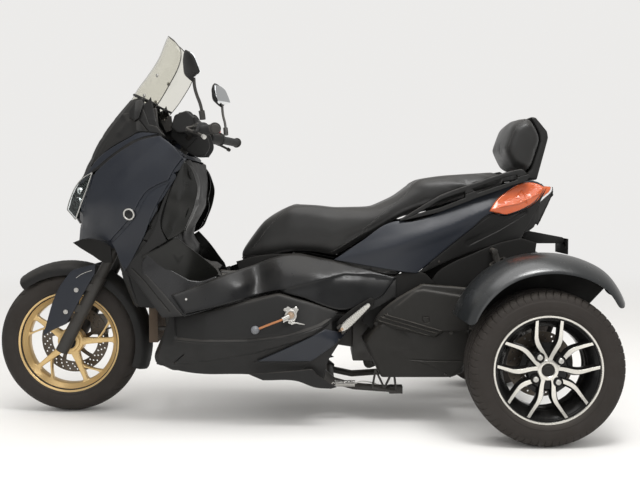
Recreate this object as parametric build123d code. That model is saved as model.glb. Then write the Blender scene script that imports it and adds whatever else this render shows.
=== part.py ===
from build123d import *
import math
import os

# Motorized trike built on a large step-through scooter, in millimetres.
# X runs from the front wheel to the tail, +Y is the right-hand side, Z is up from the floor.

# Driving sizes of the whole vehicle
wheelbase = 1738.0
rear_overhang = 270.5
rear_track = 890.0
rake = 28.0
trail = 95.0
head_x = -532.4
head_z = 808.0

# Wheels and tyres
front_tyre_d = 549.0
front_tyre_w = 120.0
front_rim_d = 381.0
rear_tyre_d = 528.0
rear_tyre_w = 165.0
rear_rim_d = 330.0
rim_lip = 13.0
tyre_seat_gap = 0.2
rim_share = 0.36
front_spokes = 5
rear_spoke_pairs = 5
lug_circle_d = 100.0
lug_hole_d = 13.0
lugs = 4
front_axle_d = 20.0
rear_axle_d = 30.0
shaft_gap = 0.05
front_disc_d = 267.0
rear_disc_d = 230.0
disc_t = 5.0

# Walls and clearances
panel_wall = 5.0
seam = 0.3
far = 600.0

# Steering
fork_spread = 184.0
fork_tube_r = 20.5
fork_slider_r = 24.0
stem_r = 16.0
head_tube_r = 30.0
bar_r = 11.0
grip_r = 17.0
bar_half = 375.0

# Places worked out from the driving sizes
rake_sin = math.sin(math.radians(rake))
rake_cos = math.cos(math.radians(rake))
steer_dir = Vector(rake_sin, 0, rake_cos)
steer_foot_x = head_x - head_z * rake_sin / rake_cos
front_axle_x = steer_foot_x + trail
front_axle_z = front_tyre_d / 2
fork_offset = front_axle_z * rake_sin - trail * rake_cos
rear_axle_x = front_axle_x + wheelbase
rear_axle_z = rear_tyre_d / 2
rear_wheel_y = rear_track / 2
front_end_x = front_axle_x - front_tyre_d / 2
rear_end_x = rear_axle_x + rear_overhang


# Point on the steering axis at a height, moved forward square to the axis and sideways
def on_steering(z, forward=0.0, y=0.0):
    x = steer_foot_x + z * rake_sin / rake_cos
    return Vector(x - forward * rake_cos, y, z + forward * rake_sin)


# Solid between two Y planes with a side-view outline of (x, z) points
def side_slab(points, y_from, y_to):
    outline = Wire.make_polygon([(x, y_from, z) for x, z in points], close=True)
    return Solid.extrude(Face(outline), Vector(0, y_to - y_from, 0))


# Solid between two heights with a plan outline of (x, y) points
def plan_slab(points, z_from, z_to):
    outline = Wire.make_polygon([(x, y, z_from) for x, y in points], close=True)
    return Solid.extrude(Face(outline), Vector(0, 0, z_to - z_from))


# Straight-ruled loft through closed outlines that have equal numbers of points
def ruled(sections):
    return Solid.make_loft([Wire.make_polygon(points, close=True) for points in sections], True)


# Mirror image on the other side of the vehicle
def other_side(shape):
    return shape.mirror(Plane.XZ)


# A left piece and its mirror image, as one node
def both_sides(shape):
    return Compound(children=[shape, other_side(shape)])


# Round bar or tube blank between two points
def rod(start, end, radius):
    start = Vector(*start)
    span = Vector(*end) - start
    return Solid.make_cylinder(radius, span.length, Plane(origin=start, z_dir=span))


# Tube bent with one radius through a list of points
def bent_tube(points, radius, bend):
    path = FilletPolyline(*points, radius=bend)
    section = Plane(origin=path @ 0, z_dir=path % 0) * Circle(radius)
    return sweep(section, path=path).solid()


# Ring turned about a Y axis through the origin from (radius, y) corner points
def turned(corners, arc=360):
    face = Face(Wire.make_polygon([(r, y, 0) for r, y in corners], close=True))
    return revolve(face, axis=Axis.Y, revolution_arc=arc).solid()


# Move each corner of a closed plan outline inward by a wall thickness
def inset(points, wall):
    count = len(points)
    moved = []
    for i in range(count):
        before = Vector(*points[i - 1], 0)
        corner = Vector(*points[i], 0)
        after = Vector(*points[(i + 1) % count], 0)
        side_in = (corner - before).normalized()
        side_out = (after - corner).normalized()
        normal_in = Vector(-side_in.Y, side_in.X, 0)
        normal_out = Vector(-side_out.Y, side_out.X, 0)
        bisector = (normal_in + normal_out).normalized()
        reach = wall / max(0.35, bisector.dot(normal_in))
        moved.append((corner.X + bisector.X * reach, corner.Y + bisector.Y * reach))
    return moved


parts = {}


# Tyre with a crowned tread, turned about the wheel axis; the shoulder's drop is a share of the wall
def tyre(outer_d, width, rim_d, drop_share, shoulder_w):
    bead = rim_d / 2 + tyre_seat_gap
    crown = outer_d / 2
    shoulder = crown - (crown - rim_d / 2) * drop_share
    bead_half = width * rim_share
    wall_foot = rim_d / 2 + rim_lip + 1
    middle = (wall_foot + shoulder) / 2
    with BuildSketch(Plane.XY) as profile:
        with BuildLine():
            Polyline((wall_foot, -bead_half), (bead, -bead_half), (bead, bead_half), (wall_foot, bead_half))
            ThreePointArc((wall_foot, bead_half), (middle, width / 2), (shoulder, shoulder_w / 2))
            ThreePointArc((shoulder, shoulder_w / 2), (crown, 0), (shoulder, -shoulder_w / 2))
            ThreePointArc((shoulder, -shoulder_w / 2), (middle, -width / 2), (wall_foot, -bead_half))
        make_face()
    return revolve(profile.sketch, axis=Axis.Y, revolution_arc=360).solid()


# Rim barrel with raised lips and a dropped well
def rim_barrel(rim_d, tyre_w):
    seat = rim_d / 2
    half = tyre_w * rim_share
    lip = seat + rim_lip
    well = seat - 14
    corners = [
        (seat, -half - 0.3), (lip, -half - 0.3), (lip, -half - 6), (seat - 6, -half - 8),
        (well - 4, -half * 0.4), (well - 4, half * 0.4), (seat - 6, half + 8), (lip, half + 6),
        (lip, half + 0.3), (seat, half + 0.3), (well, half * 0.4), (well, -half * 0.4),
    ]
    return turned(corners)


# Flat bar in the wheel plane from one radius and angle to another, with its own widths and Y span
def spoke(r_in, a_in, w_in, r_out, a_out, w_out, y_from, y_to):
    start = Vector(r_in * math.cos(a_in), 0, r_in * math.sin(a_in))
    end = Vector(r_out * math.cos(a_out), 0, r_out * math.sin(a_out))
    along = (end - start).normalized()
    across = Vector(-along.Z, 0, along.X)
    corners = [start + across * (w_in / 2), end + across * (w_out / 2)]
    corners += [end - across * (w_out / 2), start - across * (w_in / 2)]
    return side_slab([(p.X, p.Z) for p in corners], y_from, y_to)


# Front cast wheel: five Y spokes, each with a thin branch that leaves it part way out
def front_rim():
    barrel = rim_barrel(front_rim_d, front_tyre_w)
    reach = front_rim_d / 2 - 10
    wheel = barrel + turned([(front_axle_d / 2 + shaft_gap, -38), (38, -38), (38, 30), (front_axle_d / 2 + shaft_gap, 30)])
    for i in range(front_spokes):
        angle = math.radians(2 + i * 360 / front_spokes)
        wheel += spoke(30, angle, 34, reach, angle, 26, -14, 14)
        wheel += spoke(105, angle, 14, reach, angle + math.radians(25), 16, -11, 11)
    return wheel.solid()


# Rear cast wheel for the left side: five pairs of spokes that meet at the hub
def rear_rim():
    barrel = rim_barrel(rear_rim_d, rear_tyre_w)
    bore = rear_axle_d / 2 + shaft_gap
    face = -rear_tyre_w * rim_share
    wheel = barrel + turned([(bore, face - 2), (68, face - 2), (72, face + 20), (60, 40), (bore, 40)])
    reach = rear_rim_d / 2 - 8
    for i in range(rear_spoke_pairs):
        middle = 89.5 + i * 360 / rear_spoke_pairs
        for lean in (-14.5, 14.5):
            foot = math.radians(middle + lean * 0.9)
            tip = math.radians(middle + lean)
            wheel += spoke(58, foot, 26, reach, tip, 20, face - 4, face + 16)
    for i in range(lugs):
        angle = math.radians(35 + i * 360 / lugs)
        x = lug_circle_d / 2 * math.cos(angle)
        z = lug_circle_d / 2 * math.sin(angle)
        wheel -= rod((x, face - 10, z), (x, 60, z), lug_hole_d / 2)
    return wheel.solid()


# Brake disc with two rings of ventilation holes
def disc(diameter, bore, y_from, holes):
    plate = turned([(bore, y_from), (diameter / 2, y_from), (diameter / 2, y_from + disc_t), (bore, y_from + disc_t)])
    for i in range(holes):
        angle = 2 * math.pi * i / holes
        ring = diameter / 2 - (12 if i % 2 else 24)
        x = ring * math.cos(angle)
        z = ring * math.sin(angle)
        plate -= rod((x, y_from - 1, z), (x, y_from + disc_t + 1, z), 4)
    return plate.solid()


def build_wheels():
    front = Location((front_axle_x, 0, front_axle_z))
    parts["front_tyre"] = tyre(front_tyre_d, front_tyre_w, front_rim_d, 0.357, front_tyre_w - 16).moved(front)
    parts["front_rim"] = front_rim().moved(front)
    parts["front_disc"] = disc(front_disc_d, 30, 30 + seam, 24).moved(front)
    rear = Location((rear_axle_x, -rear_wheel_y, rear_axle_z))
    left = {
        "rear_tyre_left": tyre(rear_tyre_d, rear_tyre_w, rear_rim_d, 0.121, rear_tyre_w - 27),
        "rear_rim_left": rear_rim(),
        "rear_disc_left": disc(rear_disc_d, rear_axle_d / 2 + 20, 40 + seam, 16),
    }
    for name, shape in left.items():
        placed = shape.moved(rear)
        parts[name] = placed
        parts[name.replace("left", "right")] = other_side(placed)


# Height of the handlebar's middle, where the fork stem ends
bar_z = 1062.0
stem_top_z = bar_z - 16

# Fork: stem, lower clamp, two legs and the wheel spindle
fork_leg_y = fork_spread / 2
clamp_z = 655.0
clamp_t = 34.0
slider_top_z = 535.0
leg_top_z = 690.0


def leg_point(z, y):
    x = front_axle_x + (z - front_axle_z) * rake_sin / rake_cos
    return Vector(x, y, z)


def build_fork():
    crown_foot = on_steering(clamp_z)
    plate = Plane(origin=crown_foot, x_dir=(0, 1, 0), z_dir=steer_dir)
    crown_half = fork_spread / 2 + 28
    crown_front = fork_offset + 26
    outline = [(-crown_half, crown_front), (crown_half, crown_front), (crown_half, 15), (60, -26), (-60, -26), (-crown_half, 15)]
    crown = plate * extrude(make_face(Polyline(*outline, close=True)), clamp_t)
    fork = crown.solid() + rod(on_steering(clamp_z), on_steering(stem_top_z), stem_r)
    for y in (-fork_leg_y, fork_leg_y):
        fork += rod(leg_point(slider_top_z, y), leg_point(leg_top_z, y), fork_tube_r)
        fork += rod(leg_point(front_axle_z - 26, y), leg_point(slider_top_z, y), fork_slider_r)
        outer_y = y + math.copysign(fork_slider_r, y)
        for z in (415, 497):
            leg_x = leg_point(z, y).X
            fork += side_slab([(leg_x - 4, z - 14), (leg_x - 4, z + 14), (leg_x - 68, z + 8), (leg_x - 68, z - 8)],
                              outer_y, outer_y - math.copysign(12, y))
    fork += rod((front_axle_x, -fork_leg_y, front_axle_z), (front_axle_x, fork_leg_y, front_axle_z), front_axle_d / 2)
    parts["fork"] = fork.solid()


# Front fender: a ridged arch over the tyre with a pointed tip, and the flags outside the fork legs
front_fender_gap = 45.5
front_fender_r = front_tyre_d / 2 + front_fender_gap
front_fender_half = fork_spread / 2 - fork_slider_r - seam


def build_front_fender():
    centre = Location((front_axle_x, 0, front_axle_z))
    half = front_fender_half
    outer = [(-58, half), (-28, half - 5.7), (-11, 36), (0, 0)]
    inner = [(-58, half - 3), (-31, half - 9.2), (-15, 34), (-4, 0)]
    over = [(r, -y) for r, y in outer] + [(r, y) for r, y in outer[-2::-1]]
    under = [(r, y) for r, y in inner] + [(r, -y) for r, y in inner[-2::-1]]
    arch = turned([(front_fender_r + r, y) for r, y in over + under], 150)
    arch = arch.rotate(Axis.Y, -129)
    parts["front_fender"] = arch.moved(centre)
    flag = side_slab(
        [(-739, 587), (-828, 561), (-872, 508), (-944, 313), (-900, 300), (-853, 358), (-742, 551)],
        -fork_leg_y - fork_slider_r - 6, -fork_leg_y - fork_slider_r - seam)
    parts["fender_flags"] = both_sides(flag)


# Handlebar, grips, covers, levers and mirrors turn with the fork
bar_knee_y = 130.0
bar_bend = 30.0
bar_end_x = -248.0
bar_end_z = bar_z + 12
grip_from_y = 243.0


def bar_point(y):
    share = (abs(y) - bar_knee_y) / (bar_half - bar_knee_y)
    knee_x = on_steering(bar_z).X + 30
    return Vector(knee_x + (bar_end_x - knee_x) * share, y, bar_z + 26 + (bar_end_z - bar_z - 26) * share)


def bar_route():
    clamp = on_steering(bar_z)
    route = [bar_point(-bar_half), bar_point(-bar_knee_y), Vector(clamp.X, -50, bar_z)]
    route += [Vector(clamp.X, 50, bar_z), bar_point(bar_knee_y), bar_point(bar_half)]
    return [tuple(p) for p in route]


def build_handlebar():
    bar = bent_tube(bar_route(), bar_r, bar_bend)
    boss = rod(on_steering(stem_top_z), on_steering(bar_z + 16), 24)
    parts["handlebar"] = (bar + boss).solid()
    grips = []
    for side in (-1, 1):
        inner = bar_point(side * grip_from_y)
        outer = bar_point(side * (bar_half - 2))
        sleeve = rod(inner, outer, grip_r) + rod(inner, inner + (outer - inner).normalized() * 8, grip_r + 10)
        core = rod(inner - (outer - inner).normalized() * 5, outer + (outer - inner), bar_r)
        grips.append((sleeve - core).solid())
    parts["grips"] = Compound(children=grips)


def build_controls():
    housings = []
    for side in (-1, 1):
        inner = bar_point(side * 172)
        outer = bar_point(side * (grip_from_y - 1))
        along = (outer - inner).normalized()
        housing = rod(inner, outer, 25)
        perch = inner + along * 25
        lever_root = perch + Vector(-42, 0, -6)
        lever_tip = bar_point(side * 362) + Vector(-62, 0, -8)
        housing += rod(perch, lever_root, 12)
        housing += rod(lever_root - along * 12, lever_tip, 6.5)
        housing += rod(perch, perch + Vector(-10, 0, 48), 9)
        housing -= rod(inner - along * 5, outer + along * 5, bar_r)
        housings.append(housing.solid())
    parts["controls"] = Compound(children=housings)


mirror_y = 395.0
mirror_x = -306.0
mirror_z = bar_z + 223
mirror_w = 150.0
mirror_h = 104.0
mirror_t = 34.0


def build_mirrors():
    heads = []
    for side in (-1, 1):
        foot = bar_point(side * 172)
        along = (bar_point(side * 200) - foot).normalized()
        base = foot + along * 25 + Vector(-10, 0, 48) * 1.12
        facing = Plane(origin=(mirror_x, side * mirror_y, mirror_z), x_dir=(side * -0.36, 1, 0), z_dir=(1, side * 0.36, 0))
        outline = RectangleRounded(mirror_w, mirror_h, 44)
        head = extrude(facing * outline, mirror_t / 2, both=True, taper=18).solid()
        stem = rod(base, (mirror_x, side * (mirror_y - 20), mirror_z - 10), 6)
        heads.append((head + stem).solid())
    parts["mirrors"] = Compound(children=heads)


def build_handlebar_cover():
    nose = [(-455, 40), (-440, 88), (-395, 106), (-352, 68), (-348, 24), (-430, 20)]
    pod = side_slab([(x, bar_z + rise) for x, rise in nose], -92, 92)
    clear = bent_tube(bar_route(), bar_r + seam, bar_bend)
    pod = pod - clear - rod(on_steering(bar_z - 62), on_steering(bar_z + 17), 25)
    parts["handlebar_cover"] = pod.solid()


def build_front_caliper():
    leg = leg_point(front_axle_z + 55, fork_leg_y)
    body = Pos(leg.X + 62, 62, leg.Z) * Box(60, 46, 78)
    slot = Pos(front_axle_x, 33.5, front_axle_z) * turned(
        [(60, -disc_t / 2 - 2), (front_disc_d / 2 + 3, -disc_t / 2 - 2), (front_disc_d / 2 + 3, disc_t / 2 + 2), (60, disc_t / 2 + 2)])
    shape = body - slot - rod(leg_point(200, fork_leg_y), leg_point(500, fork_leg_y), fork_slider_r + seam)
    parts["front_caliper"] = shape.solid()


# Upper shock mounts on the tail rails
shock_y = 205.0
shock_plate_y = 139.0

# Radiator core behind the front wheel
radiator_t = 34.0
radiator_clear = 9.02
radiator_x = front_axle_x + front_fender_r + radiator_clear + radiator_t / 2

# Centre stand pivot under the engine
stand_x = 150.0
stand_z = 140.0
stand_pin_r = 8.0

# Passenger footpeg pivots, folded along the side and swinging outward
peg_pivot_x = 188.0
peg_pivot_y = 284.0
peg_pivot_z = 364.0
peg_rise = 42.0
peg_pin_r = 4.0
peg_dir = Vector(math.cos(math.radians(peg_rise)), 0, math.sin(math.radians(peg_rise)))
peg_axis = Vector(-peg_dir.Z, 0, peg_dir.X)


# Arm from the frame rail with two ears and the footpeg's pin
def peg_bracket(side):
    pivot = Vector(peg_pivot_x, side * peg_pivot_y, peg_pivot_z)
    inward = Vector(0, -side, 0)
    bracket = rod(pivot - peg_axis * 16, pivot + peg_axis * 16, peg_pin_r)
    for offset in (-13, 13):
        ear = Plane(origin=pivot + peg_axis * offset + inward * 10, x_dir=(0, 1, 0), z_dir=peg_axis)
        bracket += extrude(ear * Rectangle(38, 18), 3, both=True).solid()
    back = Plane(origin=pivot + inward * 25, x_dir=(0, 1, 0), z_dir=peg_axis)
    bracket += extrude(back * Rectangle(8, 18), 16, both=True).solid()
    return bracket + rod(pivot + inward * 25, (peg_pivot_x, side * rail_y, 350), 11)


# Hinge pin under the seat's nose
seat_hinge_x = -184.0
seat_hinge_z = 588.0
hinge_pin_r = 6.0

# Main frame: head tube, two lower rails, two upper rails that carry the seat and tail, cross tubes
rail_r = 17.0
rail_y = 148.0
low_rail_z = 236.0
upper_rail_z = 540.0
upper_rail_r = 15.0


def build_frame():
    head = rod(on_steering(712), on_steering(905), head_tube_r)
    frame = head
    for side in (-1, 1):
        lower = [(on_steering(745).X + 6, side * 22, 745), (-505, side * 60, 600), (-450, side * 120, 300)]
        lower += [(-400, side * rail_y, low_rail_z), (60, side * rail_y, low_rail_z), (300, side * rail_y, 445)]
        lower += [(455, side * rail_y, 640), (700, side * 132, 762), (880, side * 110, 820)]
        frame += bent_tube(lower, rail_r, 45)
        upper = [(on_steering(770).X - 2, side * 22, 770), (-440, side * 58, 555), (-250, side * 64, 530)]
        upper += [(-130, side * 84, 535), (-30, side * rail_y, upper_rail_z), (368, side * rail_y, upper_rail_z)]
        frame += bent_tube(upper, upper_rail_r, 40)
    for x, z, y in ((-380, low_rail_z, rail_y), (40, low_rail_z, rail_y), (880, 820, 110)):
        frame += rod((x, -y, z), (x, y, z), 13)
    for x, z in ((500, 662), (800, 793)):
        frame += rod((x, -far, z), (x, far, z), 13) & tail_room()
    for side in (-1, 1):
        for z in (430, 340):
            down = (600 - z) / 300
            at_tube = (-505 + 55 * down, side * (60 + 60 * down), z)
            frame += rod(at_tube, (radiator_x + radiator_t / 2 + seam, at_tube[1], z), 8)
        y_from, y_to = sorted((side * 126, side * shock_plate_y))
        frame += side_slab([(735, 772), (770, 783), (766, 626), (738, 626)], y_from, y_to)
        y_from, y_to = sorted((side * 124, side * 137))
        plate = [(20, low_rail_z - 8), (75, low_rail_z - 4), (stand_x + 20, stand_z + 12)]
        plate += [(stand_x + 18, stand_z - 14), (stand_x - 14, stand_z - 16)]
        frame += side_slab(plate, y_from, y_to)
        frame += peg_bracket(side)
    frame += rod((stand_x, -130, stand_z), (stand_x, 130, stand_z), stand_pin_r)
    stays = rod((-470, -far, 780), (-470, far, 780), 8) + rod(on_steering(780), (-470, 0, 780), 9)
    stays += rod(on_steering(890), (-575, 0, 1050), 11)
    frame += (stays & front_room()) - parts["dashboard"]
    for side in (-1, 1):
        frame += rod((seat_hinge_x, side * 75, 533), (seat_hinge_x, side * 46, seat_hinge_z), 7)
    frame += rod((seat_hinge_x, -48, seat_hinge_z), (seat_hinge_x, 48, seat_hinge_z), hinge_pin_r)
    frame -= rod(on_steering(600), on_steering(1000), stem_r + shaft_gap)
    parts["frame"] = frame.solid()


# Engine and gearbox mass as one plain block with its forward cylinder
engine_half = 112.0


def build_engine():
    block = side_slab([(235, 215), (520, 215), (520, 330), (470, 420), (235, 420)], -engine_half, engine_half)
    cylinder = side_slab([(90, 285), (235, 262), (235, 400), (90, 392)], -78, 78)
    parts["engine"] = (block + cylinder).solid()
    core = Pos(radiator_x, 0, 388) * Box(radiator_t, 250, 200)
    parts["radiator"] = core.solid()


# Belt drive case on the left with four louvre ribs
def build_drive_case():
    outline = [(482, 530), (642, 481), (650, 352), (648, 190), (600, 169), (330, 169), (262, 310), (324, 393)]
    inner = ruled([
        [(x, -engine_half - seam, z) for x, z in outline],
        [(x * 0.97 + 14, -236, z * 0.96 + 12) for x, z in outline],
        [(x * 0.9 + 46, -250, z * 0.88 + 38) for x, z in outline],
    ])
    case = inner
    for i in range(4):
        start = Vector(332 + i * 4, 0, 372 - i * 17)
        rib = side_slab([(start.X, start.Z), (start.X + 240, start.Z - 72), (start.X + 240, start.Z - 81), (start.X, start.Z - 9)], -256, -240)
        case += rib
    parts["drive_case"] = case.solid()


# Exhaust: header under the engine and silencer on the right
def build_muffler():
    header = bent_tube([(300, 60, 214.7), (300, 60, 163), (372, 190, 163), (430, 250, 240)], 17, 22)
    can = rod((415, 250, 232), (770, 262, 318), 62)
    cap = rod((770, 262, 318), (790, 262.7, 323), 44)
    parts["muffler"] = (header + can + cap).solid()


# Driven rear axle: centre gear case, axle tubes, hub carriers, stub spindles and arms to the engine
def build_axle_housing():
    case = turned([(0, -70), (70, -70), (98, -40), (98, 40), (70, 70), (0, 70)])
    case = case.moved(Location((rear_axle_x, 0, rear_axle_z)))
    carrier_y = rear_wheel_y - rear_tyre_w * rim_share - 78
    tube = rod((rear_axle_x, -carrier_y, rear_axle_z), (rear_axle_x, carrier_y, rear_axle_z), 36)
    spindle_y = rear_wheel_y + rear_tyre_w * rim_share - 8
    spindle = rod((rear_axle_x, -spindle_y, rear_axle_z), (rear_axle_x, spindle_y, rear_axle_z), rear_axle_d / 2)
    beam = case + tube + spindle
    for side in (-1, 1):
        beam += rod((rear_axle_x, side * (carrier_y - 16), rear_axle_z), (rear_axle_x, side * carrier_y, rear_axle_z), 62)
        y_from, y_to = sorted((side * 70, side * 105))
        arm = side_slab([(520, 262), (520, 322), (800, 300), (rear_axle_x, 290), (rear_axle_x, 236), (800, 232)], y_from, y_to)
        beam += arm
    parts["axle_housing"] = beam.solid()


# Spring and damper units between the axle tube and the tail rails
def build_shocks():
    foot = Vector(rear_axle_x - 14, -shock_y, rear_axle_z + 34)
    top = Vector(752, -shock_y, 640)
    along = (top - foot).normalized()
    body = rod(foot, foot + along * 150, 22)
    body += rod(foot + along * 150, top, 12)
    for i in range(8):
        ring_at = foot + along * (120 + i * 22)
        body += rod(ring_at, ring_at + along * 9, 33)
    body += rod(top - Vector(0, 14, 0), top + Vector(0, shock_y - shock_plate_y - seam, 0), 11)
    parts["rear_shocks"] = both_sides(body.solid())


# Rear fenders: crowned arches over the tyres, carried by stays from the axle tube
fender_gap = 121.0
fender_crown_r = rear_tyre_d / 2 + fender_gap
fender_front_angle = 150.0
fender_in_y = 338.0
fender_w = 207.0


def build_fenders():
    rear_angle = math.degrees(math.acos(rear_overhang / fender_crown_r))
    outer = [(-53, 0), (-23, 10), (-5, 34), (0, 67), (-3, 112), (-17, 154), (-43, 192), (-67, fender_w)]
    inner = [(-67, fender_w - 4), (-45.5, 188.5), (-20.5, 152), (-7, 111.5), (-4, 67), (-8.5, 37), (-26, 13.5), (-53, 4)]
    rows = [(fender_crown_r + r, -fender_in_y - y) for r, y in outer + inner]
    arch = turned(rows, fender_front_angle - rear_angle)
    arch = arch.rotate(Axis.Y, -fender_front_angle)
    placed = arch.moved(Location((rear_axle_x, 0, rear_axle_z)))
    hub_y = fender_in_y - 21
    top_y = fender_in_y - 9
    stay_top = fender_crown_r - 67
    stays = rod((rear_axle_x - 30, -hub_y, rear_axle_z + 30), (rear_axle_x - 120, -top_y, rear_axle_z + stay_top), 9)
    stays += rod((rear_axle_x + 30, -hub_y, rear_axle_z + 30), (rear_axle_x + 130, -top_y, rear_axle_z + stay_top - 4), 9)
    ledge = [(-150, 310), (160, 308), (160, 296), (-150, 298)]
    ledge = [(rear_axle_x + x, rear_axle_z + stay_top - 318 + z) for x, z in ledge]
    stays += side_slab(ledge, seam - fender_in_y, 13 - fender_in_y)
    return placed, stays



def build_rear_fenders():
    arch, stays = build_fenders()
    parts["rear_fenders"] = both_sides(arch)
    parts["fender_stays"] = both_sides(stays.solid())


# Front bodywork as one hollow form, cut along its seams.
# Columns: height, nose, nose corner x y, lamp x y, cheek x y, pod x y, shield x y, shield middle x
front_form = [
    (430, -640, -632, 30, -610, 120, -560, 215, -450, 262, -425, 130, -425),
    (560, -760, -750, 30, -705, 110, -610, 195, -415, 250, -395, 130, -395),
    (640, -842, -830, 30, -772, 92, -640, 178, -398, 244, -375, 130, -372),
    (729, -827, -818, 46, -765, 116, -630, 202, -375, 256, -362, 130, -360),
    (810, -863, -852, 55, -795, 140, -640, 224, -345, 264, -338, 130, -336),
    (928, -806, -797, 65, -745, 150, -610, 218, -345, 252, -345, 130, -343),
    (984, -779, -770, 68, -720, 146, -598, 202, -368, 228, -372, 130, -372),
    (1064, -737, -728, 70, -682, 136, -582, 180, -471, 190, -478, 130, -482),
    (1130, -690, -682, 62, -645, 120, -568, 164, -487, 180, -492, 130, -496),
    (1212, -622, -616, 48, -594, 92, -548, 138, -496, 160, -500, 130, -504),
]


def front_outline(row):
    z, nose, x1, y1, x2, y2, x3, y3, x4, y4, x5, y5, x6 = row
    half = [(x1, y1), (x2, y2), (x3, y3), (x4, y4), (x5, y5)]
    left = [(x, -y) for x, y in half]
    return z, [(nose, 0)] + left + [(x6, 0)] + half[::-1]


def front_blank():
    sections = []
    for row in front_form:
        z, points = front_outline(row)
        sections.append([(x, y, z) for x, y in points])
    return ruled(sections)


# Room inside the front bodywork, a seam short of its walls
def front_room():
    sections = []
    for row in front_form:
        z, points = front_outline(row)
        sections.append([(x, y, z) for x, y in inset(points, panel_wall + seam)])
    return ruled(sections)


def front_shell():
    inner = []
    for row in front_form:
        z, points = front_outline(row)
        inner.append([(x, y, z) for x, y in inset(points, panel_wall)])
    bottom = [(x, y, z - 20) for x, y, z in inner[0]]
    top = [(x, y, z + 20) for x, y, z in inner[-1]]
    return front_blank() - ruled([bottom] + inner + [top])


def build_front_body():
    shell = front_shell()
    rider_side = plan_slab([(-540, -150), (-300, -150), (-300, 150), (-540, 150)], 1000, 1230)
    open_rear = side_slab([(-520, 1230), (-468, 1040), (-300, 1000), (-300, 1230)], -far, far)
    shell = shell - rider_side - open_rear
    arch = side_slab([(-900, 400), (-900, 640), (-815, 650), (-700, 560), (-575, 400)], -far, far)
    wheel_room = plan_slab([(-900, -175), (-460, -175), (-460, 175), (-900, 175)], 400, 640)
    tunnel_mouth = plan_slab([(-460, -112), (-340, -112), (-340, 112), (-460, 112)], 400, 600)
    shell = shell - arch - wheel_room - tunnel_mouth
    above_seam = side_slab([(-300, 1150), (-471, 1064), (-739, 928), (-744, 921), (-870, 855), (-900, 905), (-900, 1300), (-300, 1300)], -far, far)
    beak = plan_slab([(-900, -66), (-700, -66), (-700, 66), (-900, 66)], 735, 1000)
    upper = shell & (above_seam + beak)
    shell = shell - above_seam - beak
    lamp_cut = side_slab([(-744, 921), (-870, 855), (-860, 790), (-812, 757), (-772, 862)], -far, far)
    lamps = shell & lamp_cut
    shell = shell - lamp_cut
    cowl_region = side_slab([(-471, 1064), (-368, 984), (-413, 894), (-570, 640), (-900, 640), (-900, 1064)], -far, far)
    cowls = shell & cowl_region
    shell = shell - cowl_region
    below = side_slab([(-900, 640), (-570, 640), (-540, 688), (-300, 560), (-300, 300), (-900, 300)], -far, far)
    lower = shell & below
    shield = shell - below
    parts["upper_cowl"] = upper
    parts["headlights"] = lamps
    parts["side_cowls"] = cowls
    parts["lower_cowl"] = lower
    parts["leg_shield"] = shield


# Windscreen: columns height, middle x, edge x, half width
screen_form = [
    (1172, -640, -508, 132),
    (1213, -612, -474, 148),
    (1296, -562, -415, 168),
    (1378, -508, -404, 160),
    (1459, -473, -428, 92),
]
screen_t = 4.0


def build_windscreen():
    sections = []
    for z, middle, edge, half in screen_form:
        front = Edge.make_three_point_arc((edge, -half, z), (middle, 0, z), (edge, half, z))
        back = Edge.make_three_point_arc((edge + screen_t, half, z), (middle + screen_t, 0, z), (edge + screen_t, -half, z))
        joins = [Edge.make_line((edge, half, z), (edge + screen_t, half, z)), Edge.make_line((edge + screen_t, -half, z), (edge, -half, z))]
        sections.append(Wire([front, joins[0], back, joins[1]]))
    parts["windscreen"] = Solid.make_loft(sections, True)


def build_dashboard():
    foot_z = screen_form[0][0] - seam
    panel = side_slab([(-660, 1090), (-648, foot_z), (-575, foot_z), (-520, 1090), (-530, 1060), (-610, 1040)], -far, far)
    parts["dashboard"] = (panel & front_room()).solid()


# Floor: tunnel between the feet, two footboards with their side fairings
# Columns: x, bottom z, fairing middle z, top z, bottom y, middle y, top y
footboard_form = [
    (-506, 222, 250, 268, 205, 236, 215),
    (-436, 196, 300, 416, 232, 290, 262),
    (-300, 190, 330, 436, 250, 322, 296),
    (-37, 182, 350, 500, 255, 335, 300),
    (95, 150, 352, 462, 250, 330, 285),
    (214, 150, 300, 420, 236, 300, 262),
    (300, 200, 330, 385, 215, 262, 250),
]
footboard_in_y = rail_y + rail_r + seam


def build_floor():
    sections = []
    for x, zb, zm, zt, yb, ym, yt in footboard_form:
        sections.append([(x, -footboard_in_y, zb), (x, -yb, zb), (x, -ym, zm), (x, -yt, zt), (x, -footboard_in_y, zt)])
    rear_cut = side_slab([(262, 480), (262, 440), (146, 243), (120, 100), (400, 100), (400, 480)], -far, -100)
    notch = side_slab([(160, 395), (166, 345), (200, 332), (262, 388), (262, 480), (236, 480)], -far, 34 - peg_pivot_y)
    arm_hole = rod((peg_pivot_x, -rail_y, 350), (peg_pivot_x, 25 - peg_pivot_y, peg_pivot_z), 11 + seam)
    board = (ruled(sections) - rear_cut - notch - arm_hole).solid()
    parts["footboards"] = both_sides(board)
    tunnel = []
    for x, zb, zt, half in ((-398, 560, 610, 118), (-330, 470, 588, 122), (-251, 440, 574, 124), (-207, 440, 574, 124)):
        tunnel.append([(x, -half, zb), (x, half, zb), (x, half, zt - 30), (x, half - 45, zt), (x, 45 - half, zt), (x, -half, zt - 30)])
    hollow = []
    for x, zb, zt, half in ((-410, 540, 605, 113), (-330, 430, 583, 117), (-251, 430, 569, 119), (-197, 430, 569, 119)):
        hollow.append([(x, -half, zb), (x, half, zb), (x, half, zt - 30), (x, half - 43, zt), (x, 43 - half, zt), (x, -half, zt - 30)])
    parts["floor_tunnel"] = (ruled(tunnel) - ruled(hollow) - front_blank()).solid()


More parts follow.
